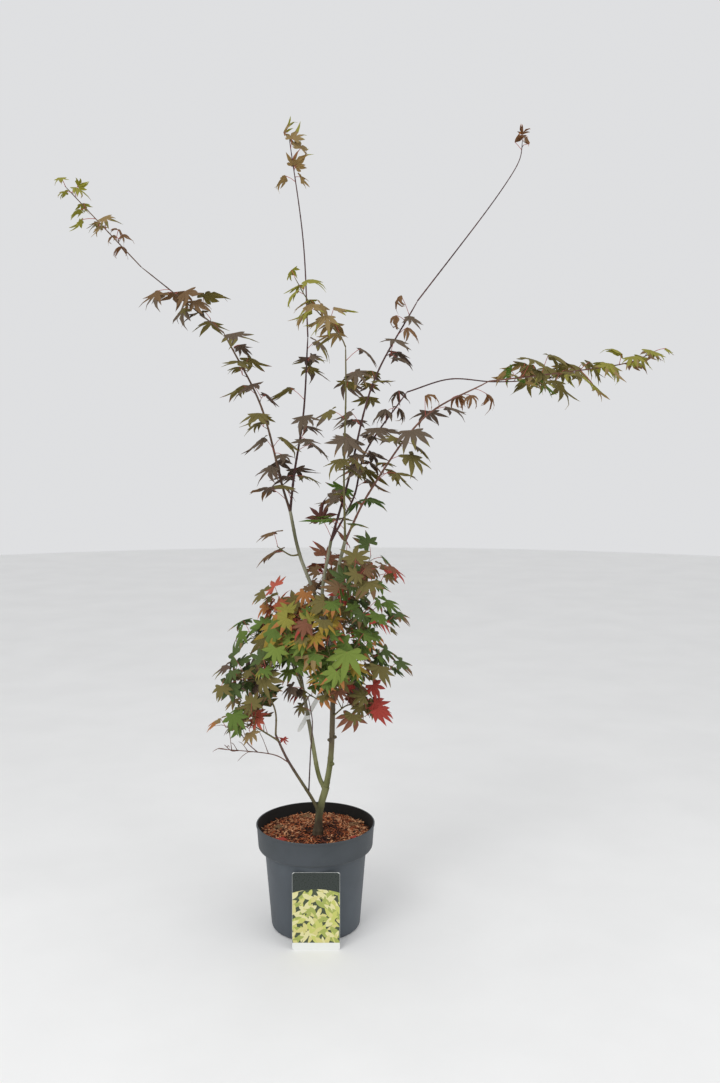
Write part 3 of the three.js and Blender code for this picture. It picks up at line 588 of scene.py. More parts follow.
# %% [markdown]
# ## Limbs
# The trunk and its boughs were laid out as a few points each, with a radius at both ends. The same
# points are used here, in millimetres. A curve that passes through them gives a smooth route. The
# packed limbs take two steps from point to point, and leaves are placed from those, so that route is
# kept as well.

# %% Points of the limbs
LIMBS = {
    "trunk": {"path": [(6, -30, 246.3), (12, -27, 309), (28, -20, 367)], "radius": (9.6, 8.8),
              "flare": 5},
    "main_stem": {"path": [(28, -20, 367), (40, -8, 446), (45, 0, 586), (46, 0, 722)],
                  "radius": (7.6, 5.6)},
    "left_stem": {"path": [(27, -20, 358), (8, -12, 398), (-10, 4, 493), (-39, 18, 654)],
                  "radius": (5.8, 4.2)},
    "low_left_bough": {"path": [(11, -27, 299), (-8, -30, 341), (-66, -42, 441), (-96, -50, 510)],
                       "radius": (4.6, 2.6)},
    "right_leader": {"path": [(46, 0, 722), (48, -6, 800), (59, -19, 915), (77, -35, 994)],
                     "radius": (5.4, 4.2)},
    "middle_leader": {"path": [(46, 0, 700), (25, -5, 797), (20, -3, 870), (41, 10, 989)],
                      "radius": (4.6, 3.9)},
    "left_leader": {"path": [(46, 0, 648), (12, 26, 812), (-39, 34, 953), (-62, 34, 1062)],
                    "radius": (5.0, 4.1)},
}
SOURCE_STEPS, LIMB_STEPS = 2, 12
UP = np.array((0.0, 0.0, 1.0))


def unit(vector):
    return vector / np.linalg.norm(vector)


def smooth_path(points, steps):
    """Curve through a few points, with mirrored ends"""
    at = np.array(points, float)
    knots = [2 * at[0] - at[1], *at, 2 * at[-1] - at[-2]]
    path = []
    for span in range(1, len(knots) - 2):
        a, b, c, d = knots[span - 1:span + 3]
        for t in (step / steps for step in range(steps)):
            path.append(0.5 * (2 * b + (c - a) * t + (2 * a - 5 * b + 4 * c - d) * t * t
                               + (3 * b - a - 3 * c + d) * t * t * t))
    path.append(at[-1])
    return np.array(path)


def path_length(path):
    return float(np.linalg.norm(np.diff(path, axis=0), axis=1).sum())


def along_path(path, share):
    """Point and heading at a share of a path's length"""
    left = share * path_length(path)
    for i in range(1, len(path)):
        span = float(np.linalg.norm(path[i] - path[i - 1]))
        if left <= span or i == len(path) - 1:
            heading = (path[i] - path[i - 1]) / span
            return path[i - 1] + heading * left, heading
        left -= span


def limb_radius(limb, share):
    """Plain radius of a limb or twig at a share of its length"""
    return mix(*limb["radius"], share) + limb.get("flare", 0) * math.exp(-share * 7)


for limb in LIMBS.values():
    limb["route"] = smooth_path(limb["path"], SOURCE_STEPS)
    limb["line"] = smooth_path(limb["path"], LIMB_STEPS)
    print("limb of", round(path_length(limb["line"])), "mm")

# %% [markdown]
# A limb is an upright cylinder carried onto its route ring by ring. Each ring keeps the side direction
# of the one before, turned no more than it must, so the surface never twists. The bark's relief is
# pushed out in the mesh: a slightly swollen ring at each old pair of buds, lengthwise ridges that
# deepen towards the foot, and a collar where a limb leaves its parent.

# %% Carry a cylinder onto a route
upright_tubes = {}


def upright_tube(sides, rings):
    """Unit tube, made once for each count of sides and rings"""
    if (sides, rings) not in upright_tubes:
        bm = bmesh.new()
        bmesh.ops.create_cone(bm, cap_ends=True, segments=sides, radius1=1, radius2=1, depth=1)
        upright = [edge for edge in bm.edges if abs(edge.verts[0].co.z - edge.verts[1].co.z) > 0.5]
        if rings > 2:
            bmesh.ops.subdivide_edges(bm, edges=upright, cuts=rings - 2)
        for face in bm.faces:
            face.smooth = abs(face.normal.z) < 0.5
        upright_tubes[sides, rings] = mesh_from(bm, "upright_tube")
    return upright_tubes[sides, rings]


def square_to(heading):
    """Direction square to a heading"""
    reference = np.array((0.0, 1.0, 0.0)) if abs(heading[2]) > 0.9 else UP
    return unit(np.cross(heading, reference))


def ring_frames(line):
    """Centre, side and lift of each ring along a line"""
    frames = []
    side = None
    for i in range(len(line)):
        heading = unit(line[min(i + 1, len(line) - 1)] - line[max(i - 1, 0)])
        if side is None:
            side = square_to(heading)
        side = unit(side - heading * side.dot(heading))
        frames.append((line[i], side, np.cross(side, heading)))
    return frames


def add_tube(bm, line, radius_at, sides, finish, rings):
    """Closed tube along a line. radius_at takes a share of the length, an angle and a length."""
    total = path_length(line)
    frames = ring_frames(np.array([along_path(line, i / (rings - 1))[0] for i in range(rings)]))
    verts, faces = copy_in(bm, upright_tube(sides, rings))
    for face in faces:
        face.material_index = finish
    for vert in verts:
        ring = round((vert.co.z + 0.5) * (rings - 1))
        centre, side, lift = frames[ring]
        angle = math.atan2(vert.co.y, vert.co.x)
        reach = radius_at(ring / (rings - 1), angle, ring / (rings - 1) * total)
        vert.co = Vector(centre + (side * math.cos(angle) + lift * math.sin(angle)) * reach) * MM


# %% Bark relief
NODE_SPACING, NODE_WIDTH, NODE_SWELL, COLLAR_LENGTH = 62, 3.2, 0.09, 9
RIDGE_COUNT, LIMB_RIDGE, LIMB_COLLAR, LIMB_SIDES, LIMB_RING = 5, 0.045, 0.4, 26, 2.2


def bark_radius(limb, collar, ridge):
    """Radius of a limb with its nodes, ridges and collar, as a function of place"""
    def radius_at(share, angle, length):
        smooth = limb_radius(limb, share)
        node = abs((length + 20) % NODE_SPACING - NODE_SPACING / 2)
        swell = NODE_SWELL * math.exp(-(node / NODE_WIDTH) ** 2)
        foot = math.exp(-share * 5) if limb.get("flare") else 0
        x, y = math.cos(angle), math.sin(angle)
        place = Vector((x * RIDGE_COUNT / 2, y * RIDGE_COUNT / 2, length / 26))
        fine = Vector((x * 7, y * 7, length / 9))
        bumps = ((ridge + 0.16 * foot) * noise.noise(place)
                 + (0.35 * ridge + 0.05 * foot) * noise.noise(fine))
        meeting = collar * math.exp(-(length / COLLAR_LENGTH) ** 2)
        return smooth * (1 + swell + bumps + meeting)
    return radius_at


OLD_BARK = ["#261f16", "#31281d", "#3f3425", "#544a38"]
GREY_BARK = ["#6b6650", "#7f7a66", "#928c7c", "#a29c8c"]
GREEN_BARK = ["#50512f", "#66683f", "#7b7c54", "#8f8f6c"]
DARK_BARK = ["#3b2b28", "#4c3833", "#5d4840", "#6d584c"]
LEADER_BARK = ["#5b5a42", "#75745c", "#8c8a76", "#9d9b8c"]
BOUGH_BARK = ["#4a432d", "#5f583d", "#756e4f"]
STEM_BARK = ["#4a4232", "#5c523f", "#70654e", "#847a62"]
# Tones below and above a height in metres, for the limbs named
BARKS = {
    "bark_foot": (OLD_BARK, GREEN_BARK, 0.315, ["trunk"]),
    "bark_main": (GREEN_BARK, STEM_BARK, 0.45, ["main_stem"]),
    "bark_left": (GREEN_BARK, GREY_BARK, 0.50, ["left_stem"]),
    "bark_low_bough": (BOUGH_BARK, DARK_BARK, 0.41, ["low_left_bough"]),
    "bark_leader": (GREY_BARK, LEADER_BARK, 0.80, ["right_leader", "middle_leader", "left_leader"]),
}
BARE_FOOT = ["trunk", "main_stem", "right_leader"]
limbs_mesh = bmesh.new()
for finish, (*_, names) in enumerate(BARKS.values()):
    for limb, collar in ((LIMBS[name], 0 if name in BARE_FOOT else LIMB_COLLAR) for name in names):
        rings = int(path_length(limb["line"]) / LIMB_RING)
        radius_at = bark_radius(limb, collar, LIMB_RIDGE)
        add_tube(limbs_mesh, limb["line"], radius_at, LIMB_SIDES, finish, rings)
limb_finishes = [rising_finish(name, low, high, change, 0.06, 0.7, 34, (1, 1, 0.22), 260, 0.0006)
                 for name, (low, high, change, _) in BARKS.items()]

# %% [markdown]
# Three pruned stubs stand on the main stem. Each is a short tapered tube that leans a little upwards.

# %% Stubs
# Share of the stem's length, heading in degrees, length and radius
STUBS = [(0.155, -50, 7, 4.2), (0.325, -120, 9, 3.8), (0.345, -30, 6, 3.6)]
main_stem = LIMBS["main_stem"]
for share, heading, length, radius in STUBS:
    foot, _ = along_path(main_stem["line"], share)
    turn = math.radians(heading)
    out = unit(np.array((math.cos(turn), math.sin(turn), 0.5)))
    stub_line = np.array([foot, foot + out * (length + main_stem["radius"][0])])
    stub = {"radius": (radius + 0.8, radius)}
    add_tube(limbs_mesh, stub_line, bark_radius(stub, 0, 0.12), 16, 1, 10)
new_piece("bark_limbs", limbs_mesh, limb_finishes, list(LIMBS))

# %% [markdown]
# ## Slip tag
# A plastic slip tag is threaded round the left stem. It is bare. The band is a ring drawn out of a
# circle along the stem, and the strip behind it is a long grid with a narrowed end. Both are sheets
# that Solidify makes as thick as the card of such a tag.

# %% Slip tag
TAG_WIDTH, TAG_THICKNESS, TAG_COLLAR, TAG_SHARE = 12, 0.5, 10, 0.62
TAG_REACH = [(16, 12, 604), (-44, 0, 500)]
left_stem = LIMBS["left_stem"]
tag_at, tag_heading = along_path(left_stem["route"], TAG_SHARE)
tag_radius = limb_radius(left_stem, TAG_SHARE) + 0.6
tag_mesh = bmesh.new()
ring = bmesh.ops.create_circle(tag_mesh, cap_ends=False, segments=32, radius=tag_radius * MM)["verts"]
ring_edges = {edge for vert in ring for edge in vert.link_edges}
bmesh.ops.translate(tag_mesh, verts=ring, vec=(0, 0, -TAG_COLLAR / 2 * MM))
drawn = bmesh.ops.extrude_edge_only(tag_mesh, edges=list(ring_edges))["geom"]
drawn = [item for item in drawn if isinstance(item, bmesh.types.BMVert)]
bmesh.ops.translate(tag_mesh, verts=drawn, vec=(0, 0, TAG_COLLAR * MM))
upright = Vector((0, 0, 1)).rotation_difference(Vector(tag_heading)).to_matrix().to_4x4()
bmesh.ops.transform(tag_mesh, matrix=Matrix.Translation(Vector(tag_at) * MM) @ upright,
                    verts=tag_mesh.verts[:])
bmesh.ops.recalc_face_normals(tag_mesh, faces=tag_mesh.faces[:])

high, low = (np.array(end, float) for end in TAG_REACH)
middle = (high + low) / 2
tag_lean = math.atan2(high[0] - low[0], high[2] - low[2])
tag_length = float(np.linalg.norm(high - low))
for vert in unit_grid(tag_mesh, 2, 16):
    narrow = 1 - 0.55 * max(0, 1 - (vert.co.y + 0.5) / 0.09)
    across, along = vert.co.x * (TAG_WIDTH - 0.6) * narrow, vert.co.y * (tag_length - 1)
    vert.co = Vector((middle[0] + math.sin(tag_lean) * along + math.cos(tag_lean) * across,
                      tag_at[1] + tag_radius + 0.4,
                      middle[2] + math.cos(tag_lean) * along - math.sin(tag_lean) * across)) * MM
tag_white = plain_finish("tag_white", "#e9eae6", 0.4, 300, 0.00004)
tag = new_piece("slip_tag", tag_mesh, [tag_white], ["stem_tag"])
thicken(tag, TAG_THICKNESS * MM, 0)

# %% [markdown]
# ## Masses of foliage
# The crown is laid out as masses. Each has one stem that leaves a limb at a share of its length and
# runs through its bends to a tip. Its habit is a long shoot, the tip of one, or a spray of the lower
# crown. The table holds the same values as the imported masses, so both crowns reach equally far. Three
# more say how the blades of a habit are bent later, how much larger they are drawn than packed, and
# how full of finer spurs it is.

# %% Habits
SHOOT = dict(radius=[3.3, 1.9], twigs=0, leafed=[0.06, 0.93], spacing=66, leaf=76, shrink=0.2,
             tilt=16, light=0.2, hang=0.25, way="hung", scale=1.15, full=0.55)
TIP = dict(radius=[1.9, 1.2], twigs=0, leafed=[0.1, 1], spacing=42, leaf=50, shrink=0.45,
           tilt=25, light=0.3, hang=0.5, way="young", scale=1.4, full=1)
SPRAY = dict(radius=[2.4, 1.3], twigs=3, leafed=[0.3, 1], spacing=38, leaf=72, shrink=0.2,
             tilt=48, light=0.85, hang=0.7, way="spread", scale=1.05, full=0.85)
masses = []


def lay(name, habit, parent, share, *points, **changes):
    """One mass: its habit, where it starts, its bends and tip, and what differs from the habit"""
    masses.append({"name": name, **habit, "from": (parent, share), "points": points, **changes})


# %% Whips as laid out
lay("left_whip_lower", SHOOT, "left_leader", 1, (-82, 30, 1130), (-130, 0, 1324), (-212, -60, 1496),
    full=0.8)
lay("left_whip_middle", TIP, "left_whip_lower", 1, (-288, -95, 1557), (-390, -138, 1638),
    leafed=[0.06, 0.66], leaf=58, full=0.5)
lay("left_whip_upper", TIP, "left_whip_middle", 1, (-452, -160, 1705), (-547, -190, 1808),
    radius=[1.4, 1], leaf=38, shrink=0.1, spacing=34, leafed=[0.2, 1], full=0.4, scale=1.25)
lay("centre_whip_lower", SHOOT, "left_leader", 1, (-51, 45, 1160), (-28, 58, 1310), (-17, 68, 1497))
lay("centre_whip_upper", TIP, "centre_whip_lower", 1, (-28, 80, 1734), (-62, 92, 1985),
    leafed=[0.78, 1], spacing=30, shrink=0.2, tilt=50, hang=-0.3)
lay("tall_whip_lower", SHOOT, "middle_leader", 1, (84, 35, 1138), (147, 95, 1384), (263, 170, 1598))
lay("tall_whip_upper", TIP, "tall_whip_lower", 1, (419, 240, 1802), (497, 272, 1910),
    (537, 284, 1978), (546, 292, 2032), leafed=[0.95, 1], spacing=18, leaf=52, shrink=0.2, tilt=78,
    light=0, hang=-1.4, full=2.5)
lay("arching_shoot_lower", SHOOT, "middle_leader", 1, (98, 20, 1098), (129, 35, 1213),
    (232, 72, 1360), radius=[2.9, 1.8])
lay("arching_shoot_upper", TIP, "arching_shoot_lower", 1, (343, 105, 1394), (460, 128, 1388),
    (589, 150, 1396), (676, 158, 1415), leafed=[0.58, 1], leaf=64, shrink=0.2, full=0.5)
lay("hooked_shoot_lower", SHOOT, "right_leader", 1, (75, -70, 1164), (80, -100, 1340),
    (80, -118, 1458), radius=[2.9, 1.8])
lay("hooked_shoot_tip", TIP, "hooked_shoot_lower", 1, (64, -124, 1486), (-4, -131, 1560),
    (-37, -134, 1615), leaf=58)
lay("right_whip_lower", SHOOT, "right_leader", 1, (138, -52, 1117), (264, -85, 1292),
    (417, -105, 1379), radius=[2.9, 1.8])
lay("right_whip_upper", TIP, "right_whip_lower", 1, (598, -118, 1400), (735, -127, 1420),
    (802, -130, 1448), leafed=[0.2, 1], leaf=62, spacing=46, full=0.5)

# %% Lower crown as laid out
lay("low_left_spray", SPRAY, "low_left_bough", 0.93, (-142, -70, 534), (-180, -86, 552))
lay("low_left_top", SPRAY, "low_left_bough", 1, (-97, -55, 575), (-128, -68, 640), (-176, -80, 680))
lay("bare_left_twigs", SPRAY, "low_left_bough", 0.66, (-110, -55, 463), (-236, -88, 486),
    radius=[1.5, 0.9], twigs=2, leaf=0)
lay("inner_whip", SPRAY, "low_left_bough", 0.26, (-10, -36, 467), (-5, -44, 540), (-14, -66, 610),
    radius=[1.8, 1.1], twigs=0, leafed=[0.84, 1], leaf=42)
lay("left_spray", SPRAY, "left_stem", 1, (-88, 20, 722), (-138, 24, 748))
lay("left_front_spray", SPRAY, "left_stem", 0.9, (-56, -46, 700), (-74, -112, 742), twigs=4)
lay("left_top_spray", SPRAY, "left_stem", 1, (-50, 16, 760), (-88, 0, 838))
lay("left_back_spray", SPRAY, "left_stem", 0.82, (-66, 84, 668), (-90, 150, 706), twigs=2)
lay("low_front_spray", SPRAY, "left_stem", 0.74, (-12, -36, 606), (8, -92, 612), twigs=1, leaf=52)
lay("right_low_spray", SPRAY, "main_stem", 0.5, (80, -40, 582), (112, -64, 590), full=0.5)
lay("right_spray", SPRAY, "main_stem", 0.78, (100, 10, 682), (156, 8, 700))
lay("right_high_spray", SPRAY, "right_leader", 0.14, (94, -24, 798), (146, -40, 822))
lay("front_spray", SPRAY, "main_stem", 0.8, (52, -66, 678), (58, -128, 696), twigs=4, full=0.6)
lay("front_high_spray", SPRAY, "right_leader", 0.12, (34, -56, 776), (16, -108, 794))
lay("back_low_spray", SPRAY, "main_stem", 0.6, (64, 70, 610), (80, 132, 630), twigs=2)
lay("back_high_spray", SPRAY, "right_leader", 0.06, (54, 70, 762), (40, 140, 786))
lay("top_right_spray", SPRAY, "right_leader", 0.5, (96, -34, 880), (136, -50, 912))
lay("top_left_spray", SPRAY, "left_leader", 0.74, (-62, 24, 952), (-94, 8, 976), twigs=0)
lay("top_back_spray", SPRAY, "middle_leader", 0.5, (18, 50, 880), (20, 96, 900), twigs=1)
print(len(masses), "masses laid out")

# %% [markdown]
# ## How the crown grows
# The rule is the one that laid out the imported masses, written again. Each mass has a stem, and side
# twigs go round it by the golden angle. Leaves stand in opposite pairs, each pair a quarter turn from
# the last. A leaf is tried in a few poses and kept where its lobes stay clear of limbs, twigs and
# other leaves. Every twig and leaf has a seed of its own, so the same crown grows every time.

# %% Growth values
# Headings in degrees and shares of the leaf's length
LOBES = [(-82, 0.68), (-42, 0.92), (0, 1), (42, 0.92), (82, 0.68)]
NOTCHES = [(-62, 0.4), (-21, 0.4), (21, 0.4), (62, 0.4)]
LOBE_WIDTH, STALK_SHARE, STALK_RISE = 0.12, (0.45, 0.9), (0.1, 0.5)
SHADE = np.array((10.0, 110.0, 0.0))
GOLDEN_ANGLE, TWIG_ANGLE = math.radians(137.5), math.radians(52)
TWIG_LENGTH, TWIG_RADIUS, TWIG_RISE, TWIG_LEAFED = 92, (1.4, 1.0), 0.22, (0.45, 1)
TWIG_PLACES, TWIG_SHORTENING, TWIG_VARIATION = (0.34, 0.86), (1.1, 0.65), (0.85, 1.15)
TWIG_TURN, TWIG_TURN_STEP = 0.8, 0.9
LEAF_ANGLE, TIP_LEAF_ANGLE, TIP_LEAF_FROM = math.radians(62), math.radians(38), 0.95
LEAF_TURN, LEAF_TURN_STEP, LEAF_TILT, LEAF_ROLL = 0.35, 0.12, 16, 0.35
LEAF_SIZES, LEAF_SIZE_STEP, LEAF_CURL, LEAF_NEAR = (0.84, 1.12), 0.02, (0.16, 0.4), 40
TRIES, TIP_INSET, STEM_GAP = 24, 2.5, 0.34
TWIG_CLEARANCE, LIMB_CLEARANCE, LEAF_CLEARANCE, SPACE_OVERLAP = 10, 3, 1, 40


# %% Directions and distances
def around_heading(heading, angle):
    """Direction square to a heading, at an angle round it"""
    side = square_to(heading)
    return side * math.cos(angle) + np.cross(side, heading) * math.sin(angle)


def twig_lines(twig):
    """Rows of both ends and both radii of a twig's spans"""
    route = twig["route"]
    last = len(route) - 1
    return np.array([[*route[i], *route[i + 1], limb_radius(twig, i / last),
                      limb_radius(twig, (i + 1) / last)] for i in range(last)])


def join_rows(rows):
    """All rows in one table, also where there are none"""
    return np.vstack(rows) if rows else np.zeros((0, 8))


def foot_points(point, start, span):
    """Points of some lines that are nearest to a point"""
    share = np.clip(((point - start) * span).sum(1) / (span * span).sum(1), 0, 1)
    return start + span * share[:, None]


def skin_distance(point, lines):
    """Least distance from a point to the skins of some lines"""
    nearest = foot_points(point, lines[:, :3], lines[:, 3:6] - lines[:, :3])
    return float((np.linalg.norm(nearest - point, axis=1) - lines[:, 6]).min())


def least_room(mine, others):
    """Least room between any of my lines and any of the others"""
    if not len(others):
        return math.inf
    u = (mine[:, 3:6] - mine[:, :3])[:, None]
    v = (others[:, 3:6] - others[:, :3])[None]
    w = mine[:, None, :3] - others[None, :, :3]
    uu, uv, vv = (u * u).sum(2), (u * v).sum(2), (v * v).sum(2)
    uw, vw = (u * w).sum(2), (v * w).sum(2)
    square = uu * vv - uv * uv
    crossing = square > 1e-9
    s = np.where(crossing, np.clip((uv * vw - vv * uw) / np.where(crossing, square, 1), 0, 1), 0)
    t = np.clip((uv * s + vw) / vv, 0, 1)
    s = np.clip((uv * t - uw) / uu, 0, 1)
    apart = np.linalg.norm(w + u * s[:, :, None] - v * t[:, :, None], axis=2)
    mine_radius = mix(mine[:, 6][:, None], mine[:, 7][:, None], s)
    return float((apart - mine_radius - mix(others[:, 6][None], others[:, 7][None], t)).min())


# %% Stems and side twigs
stems = dict(LIMBS)
for mass in masses:
    parent, share = stems[mass["from"][0]], mass["from"][1]
    point, heading = along_path(parent["route"], share)
    start = point + heading * STEM_GAP if share == 1 else point
    route = smooth_path([start, *mass["points"]], SOURCE_STEPS)
    mass["stem"] = {"route": route, "radius": mass["radius"]}
    stems[mass["name"]] = mass["stem"]


def grow_twigs(mass, index, others):
    """Side twigs of a mass, skipped where no try keeps clear"""
    grown = []
    for k in range(mass["twigs"]):
        draw = seeded_random(index * 100 + k)
        share = mix(*TWIG_PLACES, (k + 0.5) / mass["twigs"])
        point, heading = along_path(mass["stem"]["route"], share)
        length = TWIG_LENGTH * mix(*TWIG_SHORTENING, share) * mix(*TWIG_VARIATION, draw())
        turn = k * GOLDEN_ANGLE + draw() * TWIG_TURN
        for attempt in range(TRIES):
            out = around_heading(heading, turn + attempt * TWIG_TURN_STEP)
            aim = heading * math.cos(TWIG_ANGLE) + out * math.sin(TWIG_ANGLE)
            tip = point + aim * length + UP * length * TWIG_RISE
            route = np.array([point, point + aim * length * 0.5, tip])
            room = min(skin_distance(route[1], others), skin_distance(route[2], others))
            if room > TWIG_CLEARANCE:
                grown.append({"route": route, "radius": TWIG_RADIUS})
                break
    return grown


for index, mass in enumerate(masses):
    near = [twig_lines(stem) for stem in stems.values() if stem is not mass["stem"]]
    near += [twig_lines(twig) for earlier in masses[:index] for twig in earlier["side"]]
    mass["side"] = grow_twigs(mass, index, join_rows(near))
    mass["lines"] = join_rows([twig_lines(twig) for twig in [mass["stem"], *mass["side"]]])
print(sum(len(mass["side"]) for mass in masses), "side twigs")

# %% [markdown]
# A leaf is held as a frame: where its stalk starts, where its blade starts, three directions and a
# length. Blades of the long whips lie almost level. Those of the lower crown turn their faces to the
# light, which comes from outside the crown.

# %% Frame of a leaf
def leaf_frame(root, stalk, reach, length, pose, habit):
    """Leaf with its blade turned to the light and hanging a little"""
    base = root + stalk * reach
    level = unit(stalk * (1, 1, 0))
    lit = unit((base - SHADE) * (1, 1, 0))
    facing = unit(level * (1 - habit["light"]) + lit * habit["light"])
    face = facing * math.sin(pose["tilt"]) + UP * math.cos(pose["tilt"])
    drawn = stalk - UP * habit["hang"]
    along = unit(drawn - face * drawn.dot(face))
    wide = np.cross(face, along)
    normal = face * math.cos(pose["roll"]) + wide * math.sin(pose["roll"])
    leaf = {"root": root, "base": base, "along": along, "across": np.cross(normal, along),
            "normal": normal, "length": length, "curl": pose["curl"]}
    leaf["lines"] = leaf_lines(leaf)
    return leaf


def blade_point(leaf, heading, share):
    """Point of a blade at a heading and a share of its length"""
    reach, angle = share * leaf["length"], math.radians(heading)
    return (leaf["base"] + leaf["along"] * reach * math.cos(angle)
            + leaf["across"] * reach * math.sin(angle)
            - leaf["normal"] * leaf["curl"] * share * share * leaf["length"])


def leaf_lines(leaf):
    """Rows for the lobes, the web between them and the stalk"""
    width = LOBE_WIDTH * leaf["length"] / 2
    rows = [[*leaf["base"], *blade_point(leaf, *ray), width, 1] for ray in LOBES + NOTCHES]
    return np.array(rows + [[*leaf["base"], *leaf["root"], 1, 1]])


# %% Room for a leaf
limb_lines = join_rows([twig_lines(limb) for limb in LIMBS.values()]
                       + [np.array([[*TAG_REACH[0], *TAG_REACH[1], TAG_WIDTH, TAG_WIDTH]], float)])
all_leaves = []


def keeps_to_its_space(leaf, mass):
    """True where a leaf stays about its own mass and clear of everything else"""
    lines, others = leaf["lines"], mass["others"]
    space = min(skin_distance(tip, others) - skin_distance(tip, mass["lines"]) for tip in lines[:, 3:6])
    if space <= -SPACE_OVERLAP:
        return False
    if least_room(lines, limb_lines) <= LIMB_CLEARANCE or least_room(lines, others) <= LEAF_CLEARANCE:
        return False
    near = [other["lines"] for other in all_leaves if np.linalg.norm(other["base"] - leaf["base"])
            < leaf["length"] + other["length"] + LEAF_NEAR]
    return least_room(lines, join_rows(near)) > LEAF_CLEARANCE


def keep_leaf(mass, leaf, twig, share):
    """Notes a leaf with its twig and its place along the stem"""
    leaf.update(twig=twig, share=share)
    mass["leaves"].append(leaf)
    all_leaves.append(leaf)


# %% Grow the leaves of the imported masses
def place_leaf(mass, twig, share, node, hand, draw):
    """A leaf that turns and shrinks a little at each try"""
    inset = 1 - TIP_INSET / path_length(twig["route"])
    point, heading = along_path(twig["route"], min(share, inset))
    angle = TIP_LEAF_ANGLE if share > TIP_LEAF_FROM else LEAF_ANGLE
    turn = node * math.pi / 2 + hand * math.pi + mix(-LEAF_TURN, LEAF_TURN, draw())
    size = mass["leaf"] * mix(*LEAF_SIZES, draw()) * (1 - mass["shrink"] * share * share)
    pose = {"tilt": math.radians(mass["tilt"] + mix(-LEAF_TILT, LEAF_TILT, draw()))}
    pose["roll"] = mix(-LEAF_ROLL, LEAF_ROLL, draw())
    pose["curl"] = mix(*LEAF_CURL, draw())
    for attempt in range(TRIES):
        step = mix(-LEAF_TURN_STEP, LEAF_TURN_STEP, draw()) * attempt
        out = around_heading(heading, turn + step)
        stalk = heading * math.cos(angle) + out * math.sin(angle)
        stalk = unit(stalk + UP * mix(*STALK_RISE, draw()))
        length = size * (1 - LEAF_SIZE_STEP * attempt)
        leaf = leaf_frame(point, stalk, length * mix(*STALK_SHARE, draw()), length, pose, mass)
        if keeps_to_its_space(leaf, mass):
            return leaf
    return None


def grow_leaves(mass, index):
    """Opposite pairs on the stem and the side twigs"""
    for twig_index, twig in enumerate([mass["stem"], *mass["side"]]):
        first, last = mass["leafed"] if twig_index == 0 else TWIG_LEAFED
        nodes = path_length(twig["route"]) * (last - first) / mass["spacing"]
        nodes = 1 + math.floor(nodes + 0.5)
        for node in range(nodes):
            share = last if nodes == 1 else mix(first, last, node / (nodes - 1))
            for hand in (0, 1):
                draw = seeded_random(((index * 10 + twig_index) * 40 + node) * 2 + hand)
                leaf = place_leaf(mass, twig, share, node, hand, draw)
                if leaf:
                    keep_leaf(mass, leaf, twig, share)


for index, mass in enumerate(masses):
    mass["others"] = join_rows([other["lines"] for other in masses if other is not mass])
    mass["leaves"] = []
    if mass["leaf"]:
        grow_leaves(mass, index)
print(len(all_leaves), "leaves on the packed masses")

# %% [markdown]
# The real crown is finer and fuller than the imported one. Short spurs are grown between the leaf pairs
# by the same rule at a smaller scale, with a pair of leaves at each end: long ones on the lower
# sprays, and mere knuckles on the whips. They are kept only where their leaves stay inside the box of
# their own mass, so the crown keeps its outline and its gaps of sky. The bare twigs low on the left
# get longer spurs with no leaves.

# %% Finer spurs
SPUR_RADIUS, SPUR_ANGLE, SPUR_TRIES, SPURRED_FROM = (0.9, 0.7), math.radians(48), 12, 60
SPUR_CLEARANCE, SPUR_RISE, SPUR_SEED = 3, 0.2, 90000
SPUR_LEAF_TURN, SPUR_LEAF_RISE, SPUR_LEAF_SIZES, SPUR_STALK = 1.2, 0.5, (0.8, 1.15), (0.3, 0.7)
SPUR_LEAF_TILT, SPUR_LEAF_ROLL, SPUR_LEAF_CURL = 20, 0.4, (0.16, 0.45)
# Length, first and last place, spacing and leaf size as shares of the mass's own, and arch
SPURS = {
    "spread": {"length": (20, 38), "leafed": (0.3, 0.9), "spacing": 0.55, "size": 0.72, "arch": 0.05},
    "hung": {"length": (6, 16), "leafed": (0.08, 0.96), "spacing": 0.85, "size": 0.9, "arch": 0.05},
    "young": {"length": (4, 10), "leafed": None, "spacing": 0.6, "size": 1.0, "arch": 0.05},
    "bare": {"length": (34, 80), "leafed": (0.25, 0.95), "spacing": 0.6, "size": 0, "arch": 0.16},
}


def inside_box(leaf, low, high):
    """True where every lobe tip is inside a box in millimetres"""
    tips = leaf["lines"][:, 3:6]
    return bool((tips > low + 1).all() and (tips < high - 1).all())


def spur_leaf(mass, spur, size, hand, draw, box):
    """One leaf at the end of a spur"""
    root = spur["route"][-1]
    heading = unit(root - spur["route"][-2])
    for attempt in range(SPUR_TRIES):
        turn = hand * math.pi + mix(-SPUR_LEAF_TURN, SPUR_LEAF_TURN, draw())
        stalk = heading * math.cos(LEAF_ANGLE) + around_heading(heading, turn) * math.sin(LEAF_ANGLE)
        stalk = unit(stalk + UP * mix(0, SPUR_LEAF_RISE, draw()))
        length = size * mix(*SPUR_LEAF_SIZES, draw()) * (1 - LEAF_SIZE_STEP * attempt)
        pose = {"tilt": math.radians(mass["tilt"] + mix(-SPUR_LEAF_TILT, SPUR_LEAF_TILT, draw())),
                "roll": mix(-SPUR_LEAF_ROLL, SPUR_LEAF_ROLL, draw()),
                "curl": mix(*SPUR_LEAF_CURL, draw())}
        leaf = leaf_frame(root, stalk, length * mix(*SPUR_STALK, draw()), length, pose, mass)
        if inside_box(leaf, *box) and keeps_to_its_space(leaf, mass):
            return leaf
    return None


